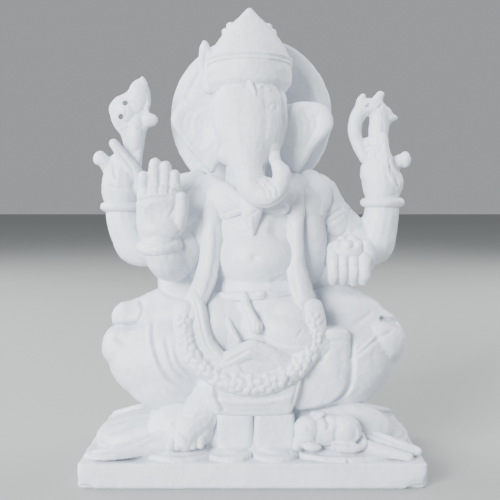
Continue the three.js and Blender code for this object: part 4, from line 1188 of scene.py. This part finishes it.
class IDOL_OT_head(bpy.types.Operator):
    """The elephant head with its curled trunk, eyes, tusks and forehead mark"""
    bl_idname = "idol.head"
    bl_label = "Head"

    def execute(self, context):
        _, _, fine = grains()
        clay = Clay(HEAD)
        clay.ball((0, 4, 0), (26, 26, 29))
        clay.ball((-8.5, -3, 9), (16.5, 20, 17))
        clay.ball((8.5, -3, 9), (16, 19, 17))
        clay.ball((0, -2, -11), (23, 20, 19))
        clay.bar([(-0.6, -10, 18, 20, 12), (-0.6, -13, 6, 22.4, 13), (-0.8, -16, -8, 22, 14),
                  (-1.2, -19, -18, 19.5, 14), (-1.6, -24, -27, 14.5, 12.5),
                  (-0.8, -29, -37, 10.6, 10.6),
                  (1.6, -33, -46, 9.4, 9.4), (7.5, -36, -51.6, 8.4, 7.6),
                  (14, -37.5, -50.6, 7.4, 7),
                  (19, -38.5, -44.6, 6.4, 6.2), (19.6, -39, -38, 5.8, 5.6),
                  (17.6, -38, -33.6, 4.6, 4.6)], sides=18)
        clay.ball((7.6, -34, -47), (11, 8.6, 7.4))
        clay.ball((-14.4, -21, -25.5), (6.4, 8, 7))
        clay.ball((13, -17, -22), (7, 10, 8))
        chisel = clay.skin("head_and_trunk", fine, soften=5)
        chisel.groove([(-17, 23), (-21.4, 18), (-22.8, 8), (-22.6, -6), (-21, -19)], 2.2, 1.7)
        chisel.groove([(16, 23), (20.4, 17), (21.8, 8), (21.6, -6), (19.4, -18)], 2.2, 1.7)
        chisel.groove([(8, 18), (10, 6), (10.8, -6), (9.6, -20), (6, -28)], 8, 1.2, ends=0.3)
        for x, z in ((15.4, 5.4), (-17.4, 5)):
            chisel.hollow((x, z), (5.4, 4.4), 1.3)
            chisel.dome((x, z), 2.2, 0.9)
            chisel.ridge(oval((x, z), (3.7, 3.0), 0.8), 1.1, 0.45, closed=True)
        chisel.ridge([(-12, 16), (-7.5, 19), (-3, 18)], 1.6, 0.8)
        chisel.ridge([(5, 18), (9, 19), (13.6, 15.6)], 1.6, 0.8)
        for k, (x, z) in enumerate(((9, -46), (12.5, -46.5), (16, -44.6))):
            chisel.groove([(x - 3.6, z + 2.4 - k), (x, z - 1.6), (x + 1.6, z - 6.6 - k)], 1.3, 0.8)
        chisel.hollow((10.8, -35.4), (2.8, 5), 6)
        chisel.groove([(10.6, -38), (12.6, -42.6), (15.6, -43.4)], 1.6, 0.9)
        chisel.groove([(4.4, -58), (12, -58.4), (20, -53), (24.4, -46)], 1.6, 0.9)
        for z in (-30, -36, -42):
            chisel.groove([(-10, z + 1), (-1.5, z - 1.2), (6, z + 0.6)], 1.7, 0.2)
        chisel.finish("head", "trunk")

        for side, stops in (
            ("right", [(-10, -17, -24, 5.4), (-13, -22, -28.4, 4.8)]),
            ("left", [(13, -14, -19, 5.2), (14.8, -21, -25, 4.8), (15.6, -26, -29, 4.0)]),
        ):
            clay = Clay(HEAD)
            clay.roll(stops)
            chisel = clay.skin(f"tusk_{side}_stone", fine * 0.8, soften=3)
            chisel.finish(f"tusk_{side}")

        clay = Clay(HEAD)
        clay.roll([(-0.8, -20.6, 23, 2.5), (0.8, -22.2, 18.5, 2.2), (2.8, -23.2, 14, 1.7),
                   (3.4, -23.4, 10.5, 1.0)])
        chisel = clay.skin("forehead_mark_stone", fine * 0.7, soften=3)
        chisel.finish("forehead_mark")
        return {"FINISHED"}


class IDOL_OT_ears(bpy.types.Operator):
    """The two fan-shaped ears, hollowed in front"""
    bl_idname = "idol.ears"
    bl_label = "Ears"

    outlines = {
        "right": ((-20, 12), (-29, 15), (-40.9, 14.4), (-49.8, 8), (-53.6, -1.5), (-47.7, -11.4),
                  (-39.5, -22.5), (-31, -31.5), (-25.5, -36), (-22, -30), (-20, -10)),
        "left": ((20, 8), (27, 10.4), (37, 12), (48, 10.6), (55, 4), (56, -5), (51.5, -11.5),
                 (45, -18.5), (39, -27.5), (33, -35), (27, -35), (22, -28), (20, -10)),
    }

    def execute(self, context):
        _, _, fine = grains()
        for side, outline in self.outlines.items():
            sign = -1 if side == "right" else 1
            clay = Clay(HEAD)
            clay.plate(outline, 0.5, 11, 3.6)
            clay.bar([(sign * 21, 6, 6, 7, 5), (sign * 22, 5, -10, 7, 5),
                      (sign * 23, 5, -26, 5, 4.6)])
            chisel = clay.skin(f"ear_{side}_stone", fine, soften=5)
            chisel.hollow((sign * 37, -6), (12, 16), 1.5, turn=sign * -28)
            chisel.hollow((sign * 32, -21), (7, 11), 0.8, turn=sign * -30)
            chisel.ridge([(sign * 28, 7), (sign * 35, 3), (sign * 38, -5), (sign * 36, -14)],
                         2.4, 0.5)
            chisel.groove([(sign * 42, 5), (sign * 45, -2), (sign * 42, -11), (sign * 36, -20)],
                          2.0, 0.4)
            chisel.groove([(sign * 30, 2), (sign * 32, -8), (sign * 31, -18)], 2.0, 0.4)
            chisel.face(BACK)
            chisel.groove([(sign * 28, 2), (sign * 38, -2), (sign * 46, -2)], 3, 0.7)
            chisel.finish(f"ear_{side}")
        return {"FINISHED"}


class IDOL_OT_crown(bpy.types.Operator):
    """The pointed crown with its rim, rings, front leaf and side crest"""
    bl_idname = "idol.crown"
    bl_label = "Crown"

    def execute(self, context):
        _, _, fine = grains()
        flat = 0.95
        clay = Clay(CROWN)
        clay.turned([(0, -6), (24, -6), (28.2, 0), (28.6, 6), (28, 12), (26.6, 18.6), (23.8, 25),
                     (20.4, 29.6),
                     (17, 34), (13.8, 37.8), (10.6, 41), (7.4, 44.2), (4.2, 47.8), (1.5, 50.6),
                     (0, 51)],
                    flat=flat)
        clay.ball((-12, -1, 38.6), (3.4, 6, 2.4))
        clay.ball((-15.6, -1, 34.8), (2.8, 6, 2.2))
        clay.ball((12.4, -1, 38), (3, 6, 2.2))
        clay.ball((15.8, 0, 34.4), (2.6, 6, 2.2))
        chisel = clay.skin("crown_cap_stone", fine * 1.05, soften=4)
        chisel.face(BACK)
        for x in (-18, -9, 0, 9, 18):
            chisel.groove([(x, 20), (x * 0.75, 32), (x * 0.2, 45)], 2.6, 0.8)
        chisel.finish("crown_cap")

        clay = Clay(CROWN)
        clay.turned([(0, -4.6), (25, -4.6), (27.4, -3.4), (28.6, 0), (29, 3), (28.6, 6), (27, 8.4),
                     (0, 8.4)],
                    at=(0, 0, 3.2), flat=flat, tilt=(-6, 0, 0))
        chisel = clay.skin("crown_rim_stone", fine * 1.1, soften=10)
        chisel.hoop(1.2, 1.4, -0.4, sag=-0.12)
        chisel.finish("crown_rim")

        clay = Clay(CROWN)
        for z in (12.4, 15.6):
            clay.turned([(20, z - 1.8), (28.2, z - 1.4), (29.4, z), (28, z + 1.4), (20, z + 1.8),
                         (20, z - 1.8)],
                        flat=flat, tilt=(-3, 0, 0))
        chisel = clay.skin("crown_rings", fine * 0.9, soften=2)
        chisel.finish("crown_bands")

        clay = Clay(CROWN)
        clay.leaf((0, -23.8, 17), (0.4, -6.2, 46), 12, 3.0, cup=-5, up=(0, -1, 0.4), point=0.5)
        chisel = clay.skin("crown_leaf_stone", fine, soften=4)
        chisel.groove([(-9, 19), (-7, 28), (-2, 38), (0, 42)], 2.2, 0.5)
        chisel.groove([(9, 19), (7, 28), (2, 38), (0, 42)], 2.2, 0.5)
        chisel.finish("crown_leaf")

        clay = Clay(CROWN)
        clay.plate([(-27, -6), (-31, -3), (-33.6, 6), (-33.8, 16), (-33.4, 24), (-31, 29.4),
                    (-28.4, 28.6),
                    (-25.6, 24), (-22, 22.4), (-22, 10), (-23, -2)], -3, 9, 3)
        chisel = clay.skin("crown_side_crest_stone", fine, soften=4)
        chisel.groove([(-31, 4), (-29.5, 14), (-29, 22)], 2.2, 0.8)
        chisel.finish("crown_side_crest")
        return {"FINISHED"}


class IDOL_OT_halo(bpy.types.Operator):
    """The round halo behind the head"""
    bl_idname = "idol.halo"
    bl_label = "Halo"

    def execute(self, context):
        _, medium, _ = grains()
        clay = Clay(HALO)
        clay.turned([(0, -4), (52, -4.4), (55.4, -3.8), (57, -1), (57, 1.4), (55, 3.8), (50, 4.5),
                     (0, 4.5)],
                    tilt=(90, 0, 0))
        chisel = clay.skin("halo_stone", medium * 1.05, soften=4)
        centre = (0, 0)
        chisel.groove(oval(centre, (47, 47), 0.3), 2.6, 0.7, closed=True)
        chisel.face(BACK)
        chisel.groove(oval(centre, (49, 49), 0.3), 2.2, 0.9, closed=True)
        chisel.ridge(oval(centre, (20, 20), 0.3), 2.4, 0.9, closed=True)
        rays = 16
        for i in range(rays):
            a = math.tau * i / rays
            chisel.groove([(24 * math.cos(a), 24 * math.sin(a)),
                           (45 * math.cos(a), 45 * math.sin(a))], 2.4, 0.9)
        chisel.finish("halo")
        return {"FINISHED"}


# ---------------------------------------------------------------- arms and hands

class IDOL_OT_rear_arms(bpy.types.Operator):
    """The two raised arms, their bangles and the left armlet"""
    bl_idname = "idol.rear_arms"
    bl_label = "Rear Arms"

    def execute(self, context):
        _, medium, fine = grains()
        arms = {
            "right": (RIGHT_WRIST, [(46, 1, 9, 15), (36, 1, -8, 14), (22, 1, -25, 13.6),
                                    (10, 0.5, -27.5, 13.2),
                                    (4.5, 0, -17, 12.8), (1, 0, -7, 12), (0, 0, 3, 11)]),
            "left": (LEFT_WRIST, [(-45, 1, 5, 15), (-36, 1, -7, 13.4), (-24, 1, -18, 12),
                                  (-13, 1, -27, 12.6),
                                  (-5.4, 0.5, -30, 13), (-2.6, 0, -18, 12.8), (-0.5, 0, -8, 12),
                                  (0, 0, 2, 11)]),
        }
        for side, (wrist, stops) in arms.items():
            clay = Clay(wrist)
            clay.roll(stops, face=(0, 1, 0))
            if side == "right":
                clay.roll([(40, 1, -1, 16.6), (33, 1, -12, 15.6)])
            chisel = clay.skin(f"rear_{side}_arm_stone", medium, soften=6)
            sign = 1 if side == "right" else -1
            chisel.groove([(sign * 10, -13), (sign * 15, -17), (sign * 22, -19)], 3, 0.8)
            chisel.finish(f"rear_{side}_arm")

            clay = Clay(wrist)
            clay.turned([(8, -3.2), (12.4, -3.2), (14.4, -1.8), (15, 0), (14.4, 1.8), (12.4, 3.2),
                         (8, 3.2), (8, -3.2)])
            chisel = clay.skin(f"rear_{side}_bangle_stone", fine * 0.9, soften=3)
            chisel.finish(f"rear_{side}_bangle")

        clay = Clay(LEFT_WRIST)
        clay.roll([(-43, 1, -3, 15.8), (-33, 1, -13, 15)])
        chisel = clay.skin("armlet_left_stone", fine * 1.1, soften=4)
        chisel.groove([(-52, 4), (-46, 9.4), (-38, 12.4), (-30, 12)],
                      2.2, 3.0, straight=True, ends=0.2)
        chisel.groove([(-46, -14), (-38, -9), (-28, -4)], 2.0, 1.3)
        chisel.groove([(-44, -17), (-36, -13), (-27, -8)], 2.0, 0.8)
        chisel.finish("armlet_left")
        return {"FINISHED"}


class IDOL_OT_rear_hands(bpy.types.Operator):
    """The two raised hands"""
    bl_idname = "idol.rear_hands"
    bl_label = "Rear Hands"

    def execute(self, context):
        _, _, fine = grains()
        clay = Clay(RIGHT_WRIST)
        clay.roll([(0, 0, 1, 11), (-0.5, 0, 10, 13.2), (-0.5, -0.5, 20, 12.6), (0, -0.5, 28, 9.5)])
        # The forefinger is crooked outward, and the thumb lies over the stem.
        clay.roll([(-8, -1, 24, 5), (-11, -2, 30, 4.6), (-13.4, -3, 32.6, 4.6)])
        clay.ball((-14.6, -3.4, 33), (4.4, 4.2, 5.2), turn=(0, 20, 0))
        clay.roll([(12.5, -5, 17, 5), (10, -7, 24, 4.8), (3, -9, 33, 4.0), (-4, -9, 42.6, 3.2)])
        clay.ball((12, -2, 13), (4, 7, 8))
        for i in range(3):
            clay.roll([(3 + 1.5 * i, 9, 20 + 5 * i, 4), (8, 7, 22 + 5 * i, 3.8)])
        chisel = clay.skin("rear_right_hand_stone", fine * 0.9, soften=4)
        chisel.groove([(-6, 34), (-4, 26), (-2, 18)], 1.8, 1.3)
        chisel.groove([(-9, 14.5), (-2, 12.5), (6, 12)], 1.6, 0.9)
        chisel.groove([(-1, 38), (6, 29), (9.6, 20), (8, 12)], 1.8, 1.6)
        chisel.groove([(-12, 27), (-8, 22), (-7, 16)], 2.0, 0.9)
        chisel.dome((-11.5, 27.5), 1.2, -0.8)
        chisel.finish("rear_right_hand")

        clay = Clay(LEFT_WRIST)
        clay.roll([(0, 0, 1, 11), (-0.5, 0, 10, 13), (-1.5, -0.5, 20, 12.6), (-3, -0.5, 30, 9.5)])
        clay.ball((-7.5, -1, 19), (7.5, 9, 11), turn=(0, -14, 0))
        clay.roll([(6, -1, 22, 5), (10, -2, 27.6, 4.6), (14, -2.6, 28.6, 4.6)])
        clay.ball((14.6, -2.6, 29), (3.8, 4.4, 5.6))
        clay.roll([(4, -5, 18, 5), (1.5, -8, 27, 4.4), (-1, -8.5, 36, 4.0), (-1.6, -7, 43, 4.2)])
        clay.ball((7.6, -1, 13), (6.4, 8, 10))
        for i in range(3):
            clay.roll([(-3 - 1.5 * i, 9, 19 + 5 * i, 4), (-8, 7, 21 + 5 * i, 3.8)])
        chisel = clay.skin("rear_left_hand_stone", fine * 0.9, soften=4)
        chisel.groove([(-7, 30), (-3.4, 36), (-1.4, 40)], 1.6, 1.4)
        chisel.groove([(2, 30), (3.6, 24), (4, 18)], 1.7, 1.1)
        chisel.groove([(3, 26), (7, 18), (10, 10)], 1.5, 0.9)
        chisel.ridge([(1, 21), (6, 13), (10.4, 8)], 1.5, 0.8)
        chisel.groove([(10, 24), (13.4, 20), (13, 15)], 2.0, 0.7)
        chisel.groove([(-8, 4.6), (0, 4), (9, 5)], 1.4, 0.6)
        chisel.finish("rear_left_hand")
        return {"FINISHED"}


class IDOL_OT_conch(bpy.types.Operator):
    """The conch in the right hand, drilled beside its curled lip"""
    bl_idname = "idol.conch"
    bl_label = "Conch"

    def execute(self, context):
        _, _, fine = grains()
        clay = Clay(CONCH)
        clay.plate([(6.6, 30.4), (3.6, 28), (-2.6, 22), (-6.4, 19), (-11.4, 16.6), (-15.4, 12),
                    (-16.6, 7.6),
                    (-15.6, 2), (-12.6, -4), (-9, -9), (-6.6, -17), (-2, -34), (4, -34), (5.4, -22),
                    (7.6, -10), (9.4, -4), (14, -2), (15.8, 0.6), (15.4, 4), (10, 7), (11.4, 14),
                    (9.8, 24)],
                   -4.5, 4.5, 2.4)
        clay.ball((-5.4, 0, 7), (9.6, 7.2, 10))
        clay.ball((3, -1, 16), (7.4, 6.4, 13), turn=(0, 8, 0))
        clay.ball((1.4, -1, -8), (6, 6.4, 15), turn=(0, 4, 0))
        clay.ball((10.6, -2, 1.6), (5.4, 4, 3.6))
        chisel = clay.skin("conch_stone", fine * 0.85, soften=4)
        chisel.groove([(-4, 12.4), (1, 12.2), (6, 10), (9.8, 7)], 1.4, 1.5, straight=True)
        chisel.groove([(-4.6, 10), (-4.2, 6), (-6.4, 1)], 1.2, 0.6)
        chisel.groove([(-3, 20), (3, 16), (8, 14)], 1.6, 0.6)
        chisel.groove([(-7, -6), (0, -3.4), (7, -4.6)], 1.5, 0.6)
        chisel.ridge([(-4, 8), (1, 7), (6, 5)], 1.4, 0.5)
        chisel.done()
        drill(chisel.piece, [(CONCH + Vector((-5, 0, 12.2)), 1.8), (CONCH + Vector((-8, 0, 3.2)),
                                                                    1.7)])
        chisel.finish("conch")
        return {"FINISHED"}


class IDOL_OT_noose(bpy.types.Operator):
    """The looped noose in the left hand, with its pronged top"""
    bl_idname = "idol.noose"
    bl_label = "Noose"

    def execute(self, context):
        _, _, fine = grains()
        clay = Clay(NOOSE)
        clay.roll([(-4, 0, -19, 4.4), (-8, 0, -12, 4.8), (-11.6, 0, -4, 4.6), (-12, 0, 4, 4.8),
                   (-9, 0, 12, 5.4),
                   (-3, 0, 16, 6), (3.4, 0, 14, 6.6), (4.8, 0, 7, 6.8), (4.2, 0, 0, 6.8),
                   (3.4, 0, -7, 6.4),
                   (1, 0, -13, 6)], face=(0, 1, 0))
        clay.ball((-2, 0, -11), (8, 4.8, 7))
        clay.roll([(-8.4, 0, 16, 4.0), (-7.6, 0, 20.6, 3.2), (-6.6, 0, 23, 2.4)])
        clay.roll([(2.6, 0, 16, 5.0), (3.4, 0, 20.6, 4.0), (5, 0, 24, 3.0)])
        clay.ball((-2, 0, 14.6), (8, 4.2, 5))
        clay.ball((8, 0, 9.4), (6, 4.2, 7.4))
        clay.roll([(10, 0, 9, 4), (14.6, 0, 8.8, 2.6), (16, 0, 8.6, 1.6)])
        clay.ball((5, 0, -10), (4.6, 4.2, 4.4))
        chisel = clay.skin("noose_stone", fine * 0.85, soften=4)
        chisel.groove([(-6, 15.6), (-2, 16.6), (2, 14.4), (6, 17)], 1.5, 1.4, straight=True)
        chisel.dome((-3.2, 16.4), 1.7, -1.8, straight=True)
        chisel.groove([(-7, -13), (-2, -11), (4, -12)], 1.4, 1.0)
        chisel.groove([(0, 12), (6, 4), (7, -4)], 2, 0.5)
        chisel.finish("noose")
        return {"FINISHED"}


class IDOL_OT_front_right_arm(bpy.types.Operator):
    """The blessing arm: forearm, bangle and open palm"""
    bl_idname = "idol.front_right_arm"
    bl_label = "Front Right Arm"

    def execute(self, context):
        _, medium, fine = grains()
        clay = Clay(PALM_WRIST)
        clay.roll([(16, 40, 28, 14), (13, 34, 12, 14), (10, 24, -3, 14), (7, 12, -10.4, 13.6),
                   (3.6, 3, -8, 12.8), (1, 0, -2, 11.8), (0, 0, 5, 11)], face=(1, 0, 0))
        clay.ball((14, 16, -4), (13, 16, 15))
        chisel = clay.skin("front_right_arm_stone", medium, soften=6)
        chisel.groove([(-6, -8), (2, -11), (12, -10)], 3, 0.5)
        chisel.finish("front_right_arm")

        clay = Clay(PALM_WRIST)
        clay.turned([(8, -3.6), (12.2, -3.6), (14.2, -2), (15, 0.4), (14.2, 2.8), (12, 4.2),
                     (8, 4.2), (8, -3.6)],
                    flat=0.9, tilt=(12, -4, 0))
        chisel = clay.skin("front_right_bangle_stone", fine * 0.9, soften=4)
        chisel.finish("front_right_bangle")

        clay = Clay(PALM_WRIST)
        clay.bar([(0, -1, 4, 12, 8), (-0.4, -2, 14, 14, 7.6), (-0.4, -2.6, 26, 14, 7),
                  (-0.6, -3, 33, 13, 6)],
                 sides=18)
        clay.ball((0.6, -4.6, 11), (12.4, 6.6, 8))
        for foot, tip in (
            ((-10.4, 1.6, 22, 4.2), (-10.6, 0.4, 44.4, 3.5)),
            ((-3.6, 1.6, 22, 4.8), (-2.8, 0.4, 52.4, 4.0)),
            ((3.4, 1.6, 22, 4.8), (4.0, 0.4, 50.6, 3.9)),
            ((9.6, 1.6, 22, 4.6), (9.6, 0.4, 45, 3.8)),
        ):
            halfway = [(a + b) / 2 for a, b in zip(foot, tip)]
            halfway[0] -= 0.2
            clay.roll([foot, halfway, tip])
        clay.roll([(11, -2, 12, 5), (14, -4, 22, 4.6), (14.4, -5, 31, 3.6)])
        chisel = clay.skin("front_right_palm_stone", fine * 0.9, soften=4)
        chisel.groove([(-14, 28.6), (-6, 30.6), (2, 31.4), (9, 31)], 1.5, 1.1)
        chisel.groove([(-13, 26), (-6, 22), (3, 20.4), (10, 18)], 2.2, 0.5)
        chisel.groove([(11.4, 33), (10.6, 26), (7, 18)], 1.8, 0.9)
        chisel.hollow((-1, 21), (9, 7), 1.4)
        chisel.groove([(-6.4, 46), (-7.4, 38), (-7.6, 32.4)], 1.5, 1.4)
        chisel.groove([(0.8, 50), (0.2, 41), (0, 33)], 1.5, 1.5)
        chisel.groove([(7, 46), (6.8, 39), (6.6, 33)], 1.5, 1.4)
        chisel.finish("front_right_palm")
        return {"FINISHED"}


class IDOL_OT_front_left_arm(bpy.types.Operator):
    """The arm that holds a bowl of sweets on the thigh"""
    bl_idname = "idol.front_left_arm"
    bl_label = "Front Left Arm"

    def execute(self, context):
        _, medium, fine = grains()
        clay = Clay(BOWL)
        clay.roll([(-18, 34, 22, 13), (-14, 33, 6, 12), (-8, 28, -5, 11.4), (-3, 18, -10, 10.6),
                   (0, 8, -13, 10)],
                  face=(1, 0, 0))
        chisel = clay.skin("front_left_arm_stone", medium, soften=5)
        chisel.finish("front_left_arm")

        clay = Clay(BOWL)
        clay.ball((0, -1, -13), (13.6, 9.6, 12))
        clay.block((-13, -9, -21), (13, 4, -4), corner=5, edge=4)
        for i in range(4):
            x = -9.9 + 6.4 * i
            clay.roll([(x, -4, -4.6, 4.2), (x, -7.4, -10, 4.4), (x, -7.8, -17, 4.2),
                       (x, -5, -21.6, 3.6)])
        clay.roll([(12, 0, -12, 4.8), (13.4, -3, -4, 4.6), (11.4, -5, 0.6, 4.4)])
        chisel = clay.skin("front_left_hand_stone", fine * 0.9, soften=4)
        for x in (-6.9, -0.6, 5.6):
            chisel.groove([(x, -5), (x, -13), (x * 0.98, -22)], 1.3, 0.6)
        chisel.groove([(-10, -13), (0, -12), (10, -13)], 1.6, 0.5)
        chisel.finish("front_left_hand")

        clay = Clay(BOWL)
        clay.turned([(0, -8), (10, -8), (13.4, -4.6), (13.6, -1.6), (11.6, 1), (6, 2.6), (0, 3.2)],
                    flat=0.8)
        for x, y, z, r in ((-7.6, -5, 0.6, 3.8), (-1.4, -7.4, 0.8, 4.0), (5.4, -6.4, 0.8, 3.8),
                           (-4.4, -1.4, 3.6, 3.8),
                           (2.4, -2.4, 3.8, 3.8), (-1, 3, 3.6, 3.6), (9.6, -2, 0.2, 3.4),
                           (-10, 1, -0.4, 3.2),
                           (6.6, 3, 2.4, 3.4)):
            clay.ball((x, y, z), r)
        chisel = clay.skin("sweets_stone", fine * 0.8, soften=3)
        chisel.finish("sweets")
        return {"FINISHED"}


# ---------------------------------------------------------------- stage

def area_light(name, at, size, power, aim):
    """A slightly cool rectangular light that shines on the aim."""
    lamp = bpy.data.lights.new(name, "AREA")
    lamp.shape, lamp.size, lamp.size_y = "RECTANGLE", *size
    lamp.energy, lamp.color = power, (0.96, 0.98, 1.0)
    lit = bpy.data.objects.new(name, lamp)
    lit.location = at
    lit.rotation_euler = (aim - at).to_track_quat("-Z", "Y").to_euler()
    bpy.context.scene.collection.objects.link(lit)


class IDOL_OT_stage(bpy.types.Operator):
    """A pale floor, soft studio light and the camera"""
    bl_idname = "idol.stage"
    bl_label = "Stage"

    floor_reach = 14  # metres from the middle of the floor to its edge
    eye_offset = Vector((-0.0015, -0.4854, 0.1745))  # from the front of the CAD box, at its base
    eye_pitch = 3.23  # degrees down
    sensor = 36  # millimetres

    def execute(self, context):
        stage = context.scene.idol_stage
        floor_mesh = bmesh.new()
        bmesh.ops.create_grid(floor_mesh, x_segments=1, y_segments=1, size=self.floor_reach)
        data = bpy.data.meshes.new("floor")
        floor_mesh.to_mesh(data)
        floor_mesh.free()
        floor = bpy.data.objects.new("floor", data)
        context.scene.collection.objects.link(floor)
        paint = bpy.data.materials.new("pale_floor")
        paint.use_nodes = True
        shader = paint.node_tree.nodes["Principled BSDF"]
        shader.inputs["Base Color"].default_value = (*stage.floor, 1)
        shader.inputs["Roughness"].default_value = 0.9
        data.materials.append(paint)
        floor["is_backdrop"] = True

        world = bpy.data.worlds.new("soft_air")
        world.use_nodes = True
        sky = world.node_tree.nodes["Background"]
        sky.inputs["Color"].default_value = (0.93, 0.965, 1.0, 1)
        sky.inputs["Strength"].default_value = stage.air
        context.scene.world = world

        low, high = CAD_BOX
        heart = (Vector(low) + Vector(high)) / 2
        for name, offset, size, power in (
            ("side_light_left", (-1.5, 0.7, 0.85), (1.4, 1.3), stage.sides),
            ("side_light_right", (1.5, 0.7, 0.85), (1.4, 1.3), stage.sides),
            ("light_above", (0, 0.3, 1.6), (1.8, 1.4), stage.above),
            ("front_light", (-1.5, -2.0, 0.8), (1.2, 1.2), stage.front),
        ):
            area_light(name, heart + Vector(offset), size, power, heart)

        camera = bpy.data.cameras.new("camera")
        camera.lens, camera.sensor_width = stage.lens, self.sensor
        camera.clip_start, camera.clip_end = 0.01, 20
        eye = bpy.data.objects.new("camera", camera)
        eye.location = Vector((heart.x, low[1], low[2])) + self.eye_offset
        eye.rotation_euler = (math.radians(90 - self.eye_pitch), 0, 0)
        context.scene.collection.objects.link(eye)
        context.scene.camera = eye
        return {"FINISHED"}


# ---------------------------------------------------------------- add-on

OPERATORS = (
    IDOL_OT_slab, IDOL_OT_seat, IDOL_OT_front_petals, IDOL_OT_corner_petals, IDOL_OT_back_petals,
    IDOL_OT_mouse, IDOL_OT_foot, IDOL_OT_legs, IDOL_OT_lap_cloth, IDOL_OT_torso, IDOL_OT_shawl,
    IDOL_OT_belt, IDOL_OT_garland, IDOL_OT_head, IDOL_OT_ears, IDOL_OT_crown, IDOL_OT_halo,
    IDOL_OT_rear_arms, IDOL_OT_rear_hands, IDOL_OT_conch, IDOL_OT_noose, IDOL_OT_front_right_arm,
    IDOL_OT_front_left_arm, IDOL_OT_stage,
)


class IDOL_PT_panel(bpy.types.Panel):
    """Lists the idol's settings and the operators that carve it"""
    bl_idname = "IDOL_PT_panel"
    bl_label = "Marble Idol"
    bl_space_type = "VIEW_3D"
    bl_region_type = "UI"
    bl_category = "Idol"

    def draw(self, context):
        scene = context.scene
        for title, settings in (("Marble", scene.idol_stone), ("Carving", scene.idol_carving),
                                ("Stage", scene.idol_stage)):
            box = self.layout.box()
            box.label(text=title)
            for name in settings.__annotations__:
                box.prop(settings, name)
        column = self.layout.column(align=True)
        for operator in OPERATORS:
            column.operator(operator.bl_idname)


SETTINGS = {
    "idol_stone": StoneSettings, "idol_carving": CarvingSettings, "idol_stage": StageSettings,
}
CLASSES = (*SETTINGS.values(), *OPERATORS, IDOL_PT_panel)


def register():
    for cls in CLASSES:
        bpy.utils.register_class(cls)
    for name, cls in SETTINGS.items():
        setattr(bpy.types.Scene, name, PointerProperty(type=cls))


def unregister():
    for name in SETTINGS:
        delattr(bpy.types.Scene, name)
    for cls in reversed(CLASSES):
        bpy.utils.unregister_class(cls)


def main():
    register()
    for operator in OPERATORS:
        group, name = operator.bl_idname.split(".")
        getattr(getattr(bpy.ops, group), name)()
    bpy.context.view_layer.update()
    plain = lambda box: [[float(value) for value in corner] for corner in box]
    {"cad": plain(CAD_BOX), "visual": plain(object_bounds())}


if __name__ == "__main__":
    main()
